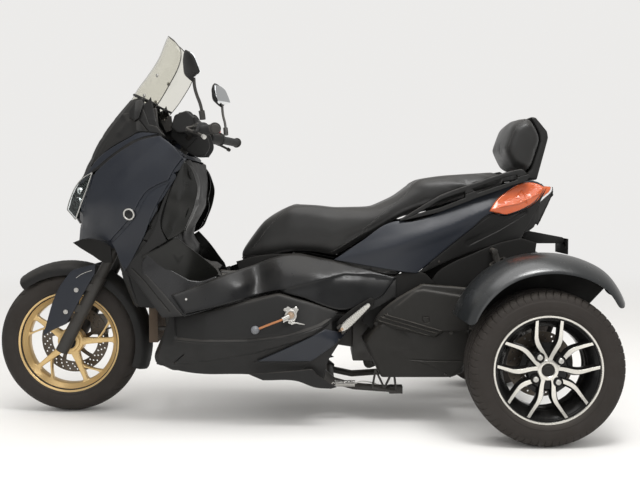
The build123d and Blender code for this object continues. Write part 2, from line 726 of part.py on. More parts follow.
# Side covers under the seat: columns x, low z, shoulder z, top z, low y, shoulder y, top y
cover_form = [
    (-135, 500, 560, 585, 215, 175, 168),
    (-37, 503, 585, 618, 262, 225, 176),
    (95, 465, 566, 606, 278, 250, 184),
    (214, 430, 552, 584, 262, 240, 190),
    (300, 420, 528, 560, 246, 226, 196),
    (400, 470, 512, 543, 215, 210, 200),
]
cover_in_y = rail_y + rail_r + seam


def build_side_covers():
    sections = []
    for x, zl, zs, zt, yl, ys, yt in cover_form:
        sections.append([(x, -cover_in_y, zl), (x, -yl, zl), (x, -ys, zs), (x, -yt, zt), (x, -cover_in_y, zt)])
    cover = ruled(sections) - footboard_blank()
    parts["side_covers"] = both_sides(cover.solid())


def footboard_blank():
    sections = []
    for x, zb, zm, zt, yb, ym, yt in footboard_form:
        sections.append([(x, -footboard_in_y + 10, zb), (x, -yb, zb), (x, -ym, zm), (x, -yt, zt + seam), (x, -footboard_in_y + 10, zt + seam)])
    return ruled(sections)


# Storage tub under the seat, open at the top
tub_half = 122.0


def build_tub():
    rim = [(0, 616), (70, 613), (166, 594), (430, 740), (446, 640), (356, 438), (20, 438)]
    hollow = [(5, 640), (70, 640), (166, 640), (425, 770), (441, 641), (353, 443), (25, 443)]
    tub = side_slab(rim, -tub_half, tub_half)
    ledge_z = upper_rail_z + upper_rail_r + seam
    tub += Pos(200, 0, ledge_z + 3) * Box(300, 2 * rail_y, 6)
    parts["storage_tub"] = (tub - side_slab(hollow, 4 - tub_half, tub_half - 4)).solid()


# Tail panels: columns x, low z, crease z, top z, low y, crease y, top y
tail_form = [
    (176, 600, 604, 608, 188, 190, 188),
    (300, 562, 640, 694, 202, 214, 190),
    (397, 546, 690, 748, 204, 216, 182),
    (553, 592, 720, 784, 180, 208, 178),
    (689, 640, 760, 836, 168, 198, 172),
    (824, 668, 800, 884, 150, 184, 160),
    (930, 716, 838, 890, 120, 160, 140),
    (996, 850, 866, 880, 96, 110, 98),
]
tail_skin = 14.0
lamp_outline = [(748, 786), (806, 846), (861, 878), (916, 888), (996, 884), (979, 857), (888, 796), (801, 773)]


# Room between the tail panels, a seam short of their walls
def tail_room():
    sections = []
    for x, zl, zc, zt, yl, yc, yt in tail_form:
        half = [(yl, zl), (yc, zc), (yt, zt)]
        left = [(x, -(y - tail_skin - seam), z) for y, z in half]
        sections.append(left + [(x, -y, z) for x, y, z in reversed(left)])
    return ruled(sections)


def build_tail():
    sections = []
    for x, zl, zc, zt, yl, yc, yt in tail_form:
        outer = [(x, -yl, zl), (x, -yc, zc), (x, -yt, zt)]
        sections.append(outer + [(x, y + tail_skin, z) for x, y, z in reversed(outer)])
    panel = ruled(sections)
    lamp_cut = side_slab(lamp_outline, -far, -60)
    parts["tail_lamps"] = both_sides((panel & lamp_cut).solid())
    parts["tail_panels"] = both_sides((panel - lamp_cut).solid())


# Rail to hold, with the base strip that it stands on; each side's two windows lie between them
def build_grab_rail():
    outline = [(403, 755), (555, 848), (691, 896), (799, 932), (853, 944), (884, 916), (868, 898), (824, 884.4), (689, 836.4), (553, 784.4), (410, 751.6)]
    strand = side_slab(outline, -196, -166)
    front_window = side_slab([(470, 778), (556, 830), (645, 862), (645, 836), (553, 800)], -200, -160)
    rear_window = side_slab([(668, 870), (800, 914), (836, 922), (836, 902), (690, 854)], -200, -160)
    side = strand - front_window - rear_window
    base_region = side_slab([(395, 744), (470, 778), (554, 815), (645, 849), (679, 862), (836, 912), (900, 930), (900, 600), (395, 600)], -far, far)
    parts["grab_rail_base"] = both_sides((side & base_region).solid())
    side = (side - base_region.moved(Location((0, 0, seam)))).solid()
    cross = side_slab([(838, 902), (848, 936), (878, 914), (868, 900)], -166, 166)
    shelf = side_slab([(862, 899), (935, 899), (935, 904 - seam), (880, 904 - seam), (872, 910)], -60, 60)
    parts["grab_rail"] = (side + other_side(side) + cross + shelf).solid()


def build_backrest():
    pad = [(798, 1023), (830, 1112), (868, 1140), (900, 1143), (935, 1080), (940, 1050), (905, 945), (880, 925), (835, 948)]
    pad_sections = []
    for y, shrink in ((-145, 0.72), (-118, 0.94), (0, 1.0), (118, 0.94), (145, 0.72)):
        pad_sections.append([(885 + (x - 885) * shrink, y, 1035 + (z - 1035) * shrink) for x, z in pad])
    parts["backrest_pad"] = ruled(pad_sections)
    back = [(901, 1143.5), (935.5, 1080.5), (940.5, 1050), (906, 944), (890, 930), (890, 904), (932, 904), (973, 1062), (970, 1086), (925, 1140)]
    parts["backrest_shell"] = side_slab(back, -110, 110)


# Seat: columns x, bottom z, top z, bottom half width, half width, top half width
seat_form = [
    (-196, 600, 626, 58, 66, 40),
    (-103, 608, 750, 90, 112, 70),
    (1, 634, 806, 120, 142, 96),
    (109, 632, 800, 132, 158, 110),
    (166, 615, 792, 136, 166, 116),
    (311, 702, 795, 142, 170, 120),
    (400, 758, 836, 142, 160, 124),
    (489, 790, 902, 140, 158, 122),
    (575, 812, 914, 136, 156, 118),
    (725, 858, 924, 118, 142, 100),
    (812, 886, 930, 80, 100, 66),
]


def build_seat():
    sections = []
    for x, zb, zt, wb, wm, wt in seat_form:
        zm = zb + (zt - zb) * 0.45
        zs = zt - (zt - zb) * 0.14
        half = [(wb, zb), (wm, zm), ((wm + wt) / 2 + 8, zs), (wt, zt)]
        section = [(x, y, z) for y, z in half] + [(x, -y, z) for y, z in reversed(half)]
        sections.append(section)
    lug = rod((seat_hinge_x, -28, seat_hinge_z), (seat_hinge_x, 28, seat_hinge_z), hinge_pin_r + 5)
    web = side_slab([(seat_hinge_x - 5, seat_hinge_z), (seat_hinge_x - 5, 612), (seat_hinge_x + 14, 612), (seat_hinge_x + 8, seat_hinge_z)], -28, 28)
    seat = ruled(sections) + lug + web
    seat -= rod((seat_hinge_x, -30, seat_hinge_z), (seat_hinge_x, 30, seat_hinge_z), hinge_pin_r + shaft_gap)
    parts["seat"] = seat.solid()


# Number plate bracket under the tail with two bolt holes
plate_x = 1060.0
plate_z = 650.0
plate_bolt_y = 62.5
plate_bolt_r = 3.5


def build_plate_bracket():
    foot_z = plate_z + 10
    arm = side_slab([(905, 712), (1019, 690), (plate_x - 8, 684), (plate_x + 8, 672), (plate_x - 10, foot_z), (905, foot_z)], -34, 34)
    arm = arm + Pos(plate_x, 0, plate_z) * Box(4, 160, 60)
    for y in (-plate_bolt_y, plate_bolt_y):
        arm -= rod((plate_x - 10, y, plate_z), (plate_x + 10, y, plate_z), plate_bolt_r)
    strut = side_slab([(893.3, 836), (918, 836), (925, 700), (915, 660), (893.3, 700)], -34, 34)
    parts["plate_bracket"] = (arm + strut).solid()


# Parking lever on the left footboard
def build_parking_lever():
    centre = Vector(7, -336, 421)
    base = rod((7, -312, 421), (7, -341, 421), 24)
    for angle in (20, 140, 260):
        ear = Vector(math.cos(math.radians(angle)) * 32, 0, math.sin(math.radians(angle)) * 32)
        base += rod(centre + ear, centre + ear + Vector(0, 6, 0), 9)
    lever = rod((7, -340, 421), (-110, -348, 375), 5)
    knob = Pos(-118, -348.5, 372) * Sphere(14)
    parts["parking_lever"] = (base + lever + knob - parts["footboards"]).solid()


# Folding passenger footpegs
def build_pegs():
    pivot = Vector(peg_pivot_x, -peg_pivot_y, peg_pivot_z)
    lug = rod(pivot - peg_axis * 9.5, pivot + peg_axis * 9.5, 9)
    tread = Plane(origin=pivot + peg_dir * 69, x_dir=peg_dir, z_dir=peg_axis)
    bar = lug + extrude(tread * RectangleRounded(130, 15, 5), 8, both=True).solid()
    bar -= rod(pivot - peg_axis * 20, pivot + peg_axis * 20, peg_pin_r + shaft_gap)
    parts["pillion_peg_left"] = bar.solid()
    parts["pillion_peg_right"] = other_side(bar)


# Centre stand, folded up under the engine
def build_stand():
    cross = rod((stand_x, -121, stand_z), (stand_x, 121, stand_z), 15)
    for side in (-1, 1):
        leg = [(stand_x, side * 100, stand_z), (stand_x + 90, side * 112, stand_z - 22), (stand_x + 240, side * 160, stand_z - 22)]
        cross += bent_tube(leg, 13, 30)
        cross += Pos(stand_x + 245, side * 160, stand_z - 22) * Box(50, 40, 26)
    cross -= rod((stand_x, -130, stand_z), (stand_x, 130, stand_z), stand_pin_r + shaft_gap)
    parts["centre_stand"] = cross.solid()


# The origin goes to the middle of the length, and each piece to its own file
def write_parts():
    os.makedirs("parts", exist_ok=True)
    centred = Location((-(front_end_x + rear_end_x) / 2, 0, 0))
    for name, shape in parts.items():
        placed = shape.moved(centred)
        placed.label = name
        export_step(placed, "parts/" + name + ".step")


build_wheels()
build_fork()
build_front_fender()
build_handlebar()
build_controls()
build_mirrors()
build_handlebar_cover()
build_front_caliper()
build_engine()
build_dashboard()
build_frame()
build_drive_case()
build_muffler()
build_axle_housing()
build_shocks()
build_rear_fenders()
build_front_body()
build_windscreen()
build_floor()
build_side_covers()
build_tub()
build_tail()
build_grab_rail()
build_backrest()
build_seat()
build_plate_bracket()
build_parking_lever()
build_pegs()
build_stand()
write_parts()
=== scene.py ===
import math
from contextlib import contextmanager
import bmesh
import bpy
import numpy as np
from mathutils import Matrix, Vector
from mathutils.bvhtree import BVHTree
from mathutils.geometry import delaunay_2d_cdt


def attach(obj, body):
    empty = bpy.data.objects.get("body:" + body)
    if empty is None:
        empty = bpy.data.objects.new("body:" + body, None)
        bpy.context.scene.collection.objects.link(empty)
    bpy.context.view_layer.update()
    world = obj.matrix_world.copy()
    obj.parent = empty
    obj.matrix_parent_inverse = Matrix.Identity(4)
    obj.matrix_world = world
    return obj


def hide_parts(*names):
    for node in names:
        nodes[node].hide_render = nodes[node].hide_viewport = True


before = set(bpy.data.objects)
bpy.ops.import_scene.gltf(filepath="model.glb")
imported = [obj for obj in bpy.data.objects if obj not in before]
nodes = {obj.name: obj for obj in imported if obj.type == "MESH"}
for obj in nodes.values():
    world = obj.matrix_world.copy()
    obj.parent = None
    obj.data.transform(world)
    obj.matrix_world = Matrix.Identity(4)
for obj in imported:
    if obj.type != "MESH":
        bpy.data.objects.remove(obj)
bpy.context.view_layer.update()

scene = bpy.context.scene
mm = 0.001
finishes = {}

# the view of the photograph: from the rider's left, a little above the seat's height
shot = {"place": (0.111, -3.2, 0.839), "lens": 45.9, "sensor": 36.0, "pitch": 3.0}
# strength of the surroundings: as light, as seen by the camera and in shiny surfaces
light = {"sky": 0.95, "seen": 0.84, "mirrored": 0.42, "colour": (1.0, 0.99, 0.975, 1)}


# small tools for meshes

def addObject(name, data):
    obj = bpy.data.objects.new(name, data)
    scene.collection.objects.link(obj)
    return obj


def addMesh(name, points, faces, edges=()):
    mesh = bpy.data.meshes.new(name)
    mesh.from_pydata([tuple(p) for p in points], edges, [tuple(f) for f in faces])
    mesh.validate()
    mesh.shade_smooth()
    return addObject(name, mesh)


@contextmanager
def opened(obj):
    # the mesh of an object, open for editing
    bm = bmesh.new()
    bm.from_mesh(obj.data)
    yield bm
    bm.to_mesh(obj.data)
    bm.free()


def tidyMesh(obj, gap=1e-6):
    with opened(obj) as bm:
        bmesh.ops.remove_doubles(bm, verts=bm.verts, dist=gap)
        bmesh.ops.recalc_face_normals(bm, faces=bm.faces)
    return obj


def finalMesh(obj):
    bpy.context.view_layer.update()
    return bpy.data.meshes.new_from_object(obj.evaluated_get(bpy.context.evaluated_depsgraph_get()))


def bakeModifiers(obj):
    shape = finalMesh(obj)
    obj.modifiers.clear()
    obj.data = shape
    return obj


def addStep(obj, kind, **settings):
    step = obj.modifiers.new("step", kind)
    for key, value in settings.items():
        setattr(step, key, value)
    return step


def meltMesh(obj, passes, shrink=0.0):
    # smooths the mesh, then draws it inwards by some millimetres
    with opened(obj) as bm:
        for _ in range(passes):
            bmesh.ops.smooth_vert(bm, verts=bm.verts, factor=0.5, use_axis_x=True, use_axis_y=True,
                use_axis_z=True)
        bm.normal_update()
        moves = [vert.normal * shrink * mm for vert in bm.verts]
        for vert, move in zip(bm.verts, moves):
            vert.co -= move
    return obj


def surfaceTree(obj):
    mesh = obj.data
    return BVHTree.FromPolygons([v.co.copy() for v in mesh.vertices],
        [tuple(f.vertices) for f in mesh.polygons])


def dress(obj, finish, body, *stands):
    obj.data.materials.clear()
    obj.data.materials.append(finishes[finish])
    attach(obj, body)
    if stands:
        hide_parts(*stands)
    return obj


def nodeMaker(tree):
    # a function that adds a node: inputs are values or other nodes' outputs
    def add(kind, inputs=None, **settings):
        made = tree.nodes.new(kind)
        for key, value in settings.items():
            setattr(made, key, value)
        for socket, source in (inputs or {}).items():
            if isinstance(source, bpy.types.NodeSocket):
                tree.links.new(source, made.inputs[socket])
            else:
                made.inputs[socket].default_value = source
        return made
    return add


# finishes: every one has patches of tone, a changing gloss and a fine grain

dustColour = (0.32, 0.29, 0.25, 1)


def grainHeight(add, place, look):
    # the fine relief of a finish: noise, cells or fine lines
    if look.get("centre"):
        place = add("ShaderNodeMapping",
                    {"Vector": place, "Location": [-v for v in look["centre"]]}).outputs[0]
    inputs = {"Vector": place, "Scale": look["grain"]}
    kind = look.get("kind", "noise")
    if kind == "cells":
        return add("ShaderNodeTexVoronoi", inputs).outputs["Distance"]
    if kind == "lines":
        return add("ShaderNodeTexWave", {**inputs, "Distortion": 1.5}, wave_type=look.get("waves", "BANDS"),
                   bands_direction=look.get("along", "Z"), rings_direction="Y").outputs["Fac"]
    return add("ShaderNodeTexNoise", {**inputs, "Detail": 3.0}).outputs["Fac"]


def makeFinish(name, first, second, rough, **look):
    mat = bpy.data.materials.new(name)
    mat.use_nodes = True
    mat.node_tree.nodes.clear()
    add = nodeMaker(mat.node_tree)
    place = add("ShaderNodeTexCoord").outputs["Object"]
    patches = add("ShaderNodeTexNoise", {"Vector": place, "Scale": look.get("patch", 6.0), "Detail": 4.0,
        "Roughness": 0.6})
    tone = add("ShaderNodeMix", {0: patches.outputs["Fac"], 6: (*first, 1), 7: (*second, 1)},
               data_type="RGBA")
    colour = tone.outputs[2]
    smudge = add("ShaderNodeTexNoise", {"Vector": place, "Scale": 22.0, "Detail": 6.0})
    gloss = add("ShaderNodeMapRange", {0: smudge.outputs["Fac"], 1: 0.3, 2: 0.7, 3: rough[0], 4: rough[1]})
    if look.get("dust"):
        normal = add("ShaderNodeNewGeometry").outputs["Normal"]
        up = add("ShaderNodeSeparateXYZ", {0: normal}).outputs["Z"]
        facing = add("ShaderNodeMapRange", {0: up, 1: 0.25, 4: look["dust"]})
        cover = add("ShaderNodeMath", {0: facing.outputs[0], 1: smudge.outputs["Fac"]}, operation="MULTIPLY")
        dusty = add("ShaderNodeMix", {0: cover.outputs[0], 6: colour, 7: dustColour}, data_type="RGBA")
        colour = dusty.outputs[2]
    surface = {
        "Base Color": colour, "Roughness": gloss.outputs[0], "Metallic": look.get("metal", 0.0),
        "IOR": look.get("ior", 1.5),
        "Coat Weight": look.get("coat", 0.0), "Coat Roughness": look.get("coatRough", 0.1),
        "Transmission Weight": look.get("clear", 0.0), "Sheen Weight": look.get("sheen", 0.0)}
    if look.get("grain"):
        relief = add("ShaderNodeBump", {
            "Height": grainHeight(add, place, look), "Strength": look.get("bump", 0.3),
            "Distance": look.get("deep", 0.0004)})
        surface["Normal"] = relief.outputs[0]
    skin = add("ShaderNodeBsdfPrincipled", surface)
    add("ShaderNodeOutputMaterial", {0: skin.outputs[0]})
    finishes[name] = mat


# name, two colours, roughness from and to, then what differs from a plain finish
makeFinish("navyPaint", (0.0085, 0.0108, 0.0165), (0.011, 0.0142, 0.022), (0.36, 0.46), ior=1.42, grain=900,
           bump=0.05, deep=0.0001, dust=0.1, coat=0.12, coatRough=0.38)
makeFinish("blackPlastic", (0.0085, 0.0084, 0.0082), (0.0125, 0.0122, 0.0118), (0.46, 0.6), ior=1.36,
           grain=1400, kind="cells", bump=0.25, deep=0.0002, dust=0.16)
makeFinish("glossBlack", (0.007, 0.007, 0.0072), (0.015, 0.015, 0.016), (0.2, 0.32), ior=1.42, grain=700,
           bump=0.04, deep=0.0001, dust=0.08)
makeFinish("caseBlack", (0.0095, 0.0088, 0.0075), (0.015, 0.0138, 0.012), (0.44, 0.62), ior=1.36, grain=260,
           bump=0.22, deep=0.0004, dust=0.22)
makeFinish("leatherette", (0.0105, 0.0103, 0.0098), (0.015, 0.0146, 0.014), (0.34, 0.46), ior=1.4,
           grain=420, kind="cells", bump=0.35, deep=0.0004, dust=0.1, sheen=0.08)
makeFinish("goldPaint", (0.72, 0.52, 0.25), (0.66, 0.465, 0.21), (0.3, 0.42), metal=0.55, grain=500,
           bump=0.06, deep=0.0001, dust=0.12)
makeFinish("machined", (0.74, 0.72, 0.66), (0.66, 0.64, 0.6), (0.22, 0.34), metal=0.9, grain=260,
           kind="lines", waves="RINGS", bump=0.06, deep=0.0001, centre=(0.871, 0, 0.264))
makeFinish("pocketBlack", (0.0045, 0.0045, 0.0047), (0.007, 0.0068, 0.0066), (0.12, 0.22), ior=1.32,
           grain=500, bump=0.04, deep=0.0001, dust=0.03)
makeFinish("tyreRubber", (0.019, 0.0155, 0.0132), (0.029, 0.0243, 0.021), (0.68, 0.84), ior=1.38, grain=700,
           bump=0.2, deep=0.0003, dust=0.2)
makeFinish("fenderPaint", (0.008, 0.0095, 0.0108), (0.0105, 0.0122, 0.0132), (0.22, 0.3), grain=600,
           bump=0.04, deep=0.0001, dust=0.06, coat=0.8, coatRough=0.3)
makeFinish("frameBlack", (0.014, 0.0135, 0.013), (0.03, 0.026, 0.021), (0.4, 0.62), grain=300, bump=0.15,
           deep=0.0003, dust=0.3)
makeFinish("castGrey", (0.12, 0.118, 0.112), (0.19, 0.18, 0.165), (0.45, 0.65), metal=0.5, grain=350,
           bump=0.25, deep=0.0004, dust=0.3)
makeFinish("zincSteel", (0.6, 0.59, 0.56), (0.48, 0.47, 0.45), (0.24, 0.42), metal=0.9, grain=400, bump=0.1,
           deep=0.0002)
makeFinish("discDark", (0.085, 0.07, 0.055), (0.14, 0.12, 0.1), (0.3, 0.5), metal=0.8, grain=300, bump=0.2,
           deep=0.0002)
makeFinish("rustedSteel", (0.34, 0.2, 0.1), (0.42, 0.36, 0.3), (0.45, 0.7), metal=0.5, patch=60, grain=500,
           bump=0.4, deep=0.0004)
makeFinish("copperRod", (0.45, 0.2, 0.09), (0.36, 0.15, 0.07), (0.35, 0.5), metal=0.7, patch=40, grain=500,
           bump=0.2)
makeFinish("lampBowl", (0.006, 0.009, 0.0085), (0.014, 0.02, 0.018), (0.25, 0.4), patch=40, grain=300,
           bump=0.2, ior=1.3)
makeFinish("lampGlass", (0.12, 0.14, 0.135), (0.05, 0.07, 0.065), (0.03, 0.08), metal=0.6, patch=50,
           coat=0.8, coatRough=0.04)
makeFinish("ballGrey", (0.12, 0.125, 0.135), (0.16, 0.165, 0.175), (0.4, 0.55), grain=700, bump=0.15)
makeFinish("pegSteel", (0.62, 0.61, 0.57), (0.5, 0.49, 0.46), (0.3, 0.45), metal=0.7, grain=600, bump=0.2)
# painted shade: a black darker than the plastic, given to sheets and walls in gaps, recesses and undersides
# where shade falls
makeFinish("paintedShadeBlack", (0.0045, 0.0043, 0.004), (0.008, 0.0074, 0.0065), (0.5, 0.68), ior=1.3, grain=400,
           bump=0.2, dust=0.06)
makeFinish("podBlack", (0.0065, 0.0066, 0.0058), (0.0098, 0.0098, 0.0088), (0.26, 0.36), ior=1.38,
           grain=700, bump=0.04, deep=0.0001, dust=0.06)
makeFinish("coverBlack", (0.0058, 0.006, 0.0064), (0.0078, 0.008, 0.0084), (0.27, 0.38), ior=1.36,
           grain=700, bump=0.04, deep=0.0001, dust=0.1)
makeFinish("redSwitch", (0.5, 0.02, 0.015), (0.42, 0.02, 0.015), (0.35, 0.5), grain=500, bump=0.1)
makeFinish("mirrorFace", (0.82, 0.84, 0.85), (0.78, 0.8, 0.82), (0.02, 0.05), metal=1.0)
makeFinish("chrome", (0.8, 0.81, 0.8), (0.74, 0.75, 0.75), (0.06, 0.14), metal=1.0, grain=300, bump=0.05)
makeFinish("gripRubber", (0.015, 0.015, 0.015), (0.022, 0.022, 0.022), (0.6, 0.75), grain=500, kind="cells",
           bump=0.4, deep=0.0004)
makeFinish("heatCore", (0.12, 0.085, 0.06), (0.2, 0.15, 0.11), (0.5, 0.7), metal=0.4, grain=160,
           kind="lines", bump=0.8, deep=0.002)
makeFinish("amberLens", (0.4, 0.045, 0.008), (0.62, 0.14, 0.03), (0.08, 0.16), patch=9, coat=0.8,
           coatRough=0.04, grain=260, kind="lines", along="X", bump=0.35, deep=0.0012)
makeFinish("clearLens", (0.9, 0.93, 0.93), (0.86, 0.9, 0.9), (0.02, 0.05), clear=1.0, ior=1.25)
makeFinish("thread", (0.16, 0.155, 0.15), (0.11, 0.108, 0.105), (0.6, 0.75), grain=2200, bump=0.4,
           deep=0.0002)
makeFinish("smokeEdge", (0.05, 0.048, 0.042), (0.07, 0.066, 0.058), (0.15, 0.3), grain=300, bump=0.05)
makeFinish("screenGlass", (0.86, 0.85, 0.79), (0.83, 0.82, 0.76), (0.03, 0.07), clear=1.0, ior=1.3)
makeFinish("floorPale", (0.8, 0.79, 0.77), (0.84, 0.83, 0.81), (0.55, 0.65), patch=1.5, grain=60, bump=0.03,
           deep=0.001)
print("finishes ready:", len(finishes))


# points along lines and tables

def bend(t, start, lead, end, land):
    # a cubic between two values with their slopes
    return ((2 * t ** 3 - 3 * t ** 2 + 1) * start + (t ** 3 - 2 * t ** 2 + t) * lead
            + (3 * t ** 2 - 2 * t ** 3) * end + (t ** 3 - t ** 2) * land)


def smoothLine(points, step, closed=False):
    # a smooth line through (a, b) points; a third value of 1 marks a sharp corner
    flat = np.array([p[:2] for p in points], float)
    sharp = [len(p) > 2 and p[2] == 1 for p in points]
    count = len(flat)
    spans = count if closed else count - 1

    def slope(i, side):
        before, after = flat[i - 1], flat[(i + 1) % count]
        if sharp[i] or (not closed and i in (0, count - 1)):
            ends = (flat[i], after) if side else (before, flat[i])
            if not closed and i == 0:
                ends = (flat[0], flat[1])
            if not closed and i == count - 1:
                ends = (flat[-2], flat[-1])
            return (ends[1] - ends[0]) / max(np.linalg.norm(ends[1] - ends[0]), 1e-9)
        gapBefore = max(np.linalg.norm(flat[i] - before), 1e-9)
        gapAfter = max(np.linalg.norm(after - flat[i]), 1e-9)
        ahead, behind = (after - flat[i]) / gapAfter, (flat[i] - before) / gapBefore
        return (ahead * gapBefore + behind * gapAfter) / (gapBefore + gapAfter)

    line = []
    for i in range(spans):
        start, end = flat[i], flat[(i + 1) % count]
        length = np.linalg.norm(end - start)
        if length < 1e-6:
            continue
        lead, land = slope(i, 1) * length, slope((i + 1) % count, 0) * length
        for t in np.arange(0, 1, 1 / max(1, round(length / step))):
            line.append(bend(t, start, lead, end, land))
    if not closed:
        line.append(flat[-1])
    return np.array(line)


def alongTable(rows, where):
    # smooth values between the rows of a table whose first column rises
    rows = np.array(rows, float)
    out = []
    for value in where:
        i = int(np.clip(np.searchsorted(rows[:, 0], value) - 1, 0, len(rows) - 2))
        span = rows[i + 1, 0] - rows[i, 0]
        t = (value - rows[i, 0]) / span
        before, after = rows[max(i - 1, 0)], rows[min(i + 2, len(rows) - 1)]
        lead = (rows[i + 1] - before) / max(rows[i + 1, 0] - before[0], 1e-9) * span
        land = (after - rows[i]) / max(after[0] - rows[i, 0], 1e-9) * span
        out.append(bend(t, rows[i], lead, rows[i + 1], land))
    return np.array(out)


def joinRings(rings, closedAround=True, closedAlong=False, capped=False):
    # faces between rings of points; every ring has the same number of points
    rings = [np.array(r, float) for r in rings]
    size = len(rings[0])
    points = np.concatenate(rings)
    faces = []
    for i in range(len(rings) if closedAlong else len(rings) - 1):
        here, there = i * size, ((i + 1) % len(rings)) * size
        for j in range(size if closedAround else size - 1):
            k = (j + 1) % size
            faces.append((here + j, here + k, there + k, there + j))
    if capped:
        faces.append(tuple(range(size))[::-1])
        faces.append(tuple(range((len(rings) - 1) * size, len(rings) * size)))
    return points, faces


def shadeByAngle(obj, degrees=35):
    with opened(obj) as bm:
        for face in bm.faces:
            face.smooth = True
        for edge in bm.edges:
            edge.smooth = len(edge.link_faces) == 2 and edge.calc_face_angle(0) < math.radians(degrees)
    return obj


def solidRings(name, rings, sharp, whole=False):
    # one closed piece out of rings of points, capped unless they go all round
    return shadeByAngle(tidyMesh(addMesh(name, *joinRings(rings, True, whole, not whole))), sharp)


def aroundAxle(centre, radius, y, angle):
    # a point at a radius and a width in mm from a wheel's centre
    return (centre[0] + radius * mm * math.cos(angle), centre[1] + y * mm,
            centre[2] + radius * mm * math.sin(angle))


def lathe(name, rows, centre=(0, 0, 0), steps=96, sharp=30):
    # closed section of (radius, y) in mm turned about the wheel axle
    turns = [math.tau * i / steps for i in range(steps)]
    return solidRings(name, [[aroundAxle(centre, r, y, a) for r, y in rows] for a in turns], sharp, True)


def sweepTube(name, points, radius, steps=12, sub=6, closed=False):
    # round bar along a smooth line through 3-D points in metres
    curve = bpy.data.curves.new(name, "CURVE")
    curve.dimensions = "3D"
    line = curve.splines.new("BEZIER")
    line.bezier_points.add(len(points) - 1)
    for knot, place in zip(line.bezier_points, points):
        knot.co = place
        knot.handle_left_type = knot.handle_right_type = "AUTO"
    line.use_cyclic_u = closed
    line.resolution_u = sub
    curve.bevel_depth = radius
    curve.bevel_resolution = max(1, steps // 4)
    curve.use_fill_caps = True
    holder = addObject(name + "Line", curve)
    mesh = finalMesh(holder)
    bpy.data.objects.remove(holder)
    return shadeByAngle(tidyMesh(addObject(name, mesh)), 40)


def rodPiece(name, finish, body, radius, steps, points, sub=6):
    return dress(sweepTube(name, points, radius, steps, sub), finish, body)


def mergeInto(name, pieces):
    # one object out of several, in place
    bm = bmesh.new()
    for piece in pieces:
        bm.from_mesh(piece.data)
    mesh = bpy.data.meshes.new(name)
    bm.to_mesh(mesh)
    bm.free()
    for piece in pieces:
        bpy.data.objects.remove(piece)
    return addObject(name, mesh)


def addMirrored(obj):
    # the same shape on the other side of the vehicle, in the same object
    with opened(obj) as bm:
        twin = bmesh.ops.duplicate(bm, geom=bm.verts[:] + bm.edges[:] + bm.faces[:])["geom"]
        for vert in [g for g in twin if isinstance(g, bmesh.types.BMVert)]:
            vert.co.y = -vert.co.y
        bmesh.ops.reverse_faces(bm, faces=[g for g in twin if isinstance(g, bmesh.types.BMFace)])
    return obj


def turnInto(obj, place, facing):
    # moves a turned piece from the origin, with its front (-y) looking along a direction
    turn = Vector(facing).to_track_quat("-Y", "Z").to_matrix().to_4x4()
    obj.data.transform(Matrix.Translation(place) @ turn)
    return obj


# Geometry Nodes trees: copies around an axle, along a path, at points, and coils

def newTree(name, sockets):
    tree = bpy.data.node_groups.new(name, "GeometryNodeTree")
    for label, kind in sockets:
        tree.interface.new_socket(label, in_out="INPUT", socket_type="NodeSocket" + kind)
    tree.interface.new_socket("Geometry", in_out="OUTPUT", socket_type="NodeSocketGeometry")
    add = nodeMaker(tree)
    enter = add("NodeGroupInput").outputs

    def close(last):
        real = add("GeometryNodeRealizeInstances", {0: last})
        finish = add("GeometryNodeSetMaterial", {"Geometry": real.outputs[0], "Material": enter["Finish"]})
        add("NodeGroupOutput", {0: finish.outputs[0]})
        return tree

    return enter, add, close


def runTree(tree, obj, **values):
    # inputs are set by identifier before the first evaluation, then the result is kept as a mesh
    step = obj.modifiers.new("tree", "NODES")
    step.node_group = tree
    for item in tree.interface.items_tree:
        if item.item_type == "SOCKET" and item.in_out == "INPUT" and item.name in values:
            step[item.identifier] = values[item.name]
    obj.update_tag()
    return bakeModifiers(obj)


def randomValue(add, seed, low, high):
    vary = add("FunctionNodeRandomValue", {"Seed": seed}, data_type="FLOAT")
    for socket in vary.inputs:
        if socket.type == "VALUE" and socket.name in ("Min", "Max"):
            socket.default_value = low if socket.name == "Min" else high
    return [s for s in vary.outputs if s.type == "VALUE" and s.enabled][0]


def copiesAroundTree():
    enter, add, close = newTree("copiesAround", [
        ("Geometry", "Geometry"), ("Copies", "Int"), ("Start", "Float"), ("Centre", "Vector"),
        ("Weld", "Float"), ("Finish", "Material")])
    spots = add("GeometryNodePoints", {"Count": enter["Copies"]})
    index = add("GeometryNodeInputIndex")
    step = add("ShaderNodeMath", {0: math.tau, 1: enter["Copies"]}, operation="DIVIDE")
    turn = add("ShaderNodeMath", {0: index.outputs[0], 1: step.outputs[0], 2: enter["Start"]},
               operation="MULTIPLY_ADD")
    spin = add("FunctionNodeAxisAngleToRotation", {"Axis": (0, -1, 0), "Angle": turn.outputs[0]})
    copies = add("GeometryNodeInstanceOnPoints", {"Points": spots.outputs[0], "Instance": enter["Geometry"],
        "Rotation": spin.outputs[0]})
    real = add("GeometryNodeRealizeInstances", {0: copies.outputs[0]})
    weld = add("GeometryNodeMergeByDistance", {"Geometry": real.outputs[0], "Distance": enter["Weld"]})
    placed = add("GeometryNodeTransform", {"Geometry": weld.outputs[0], "Translation": enter["Centre"]})
    return close(placed.outputs[0])


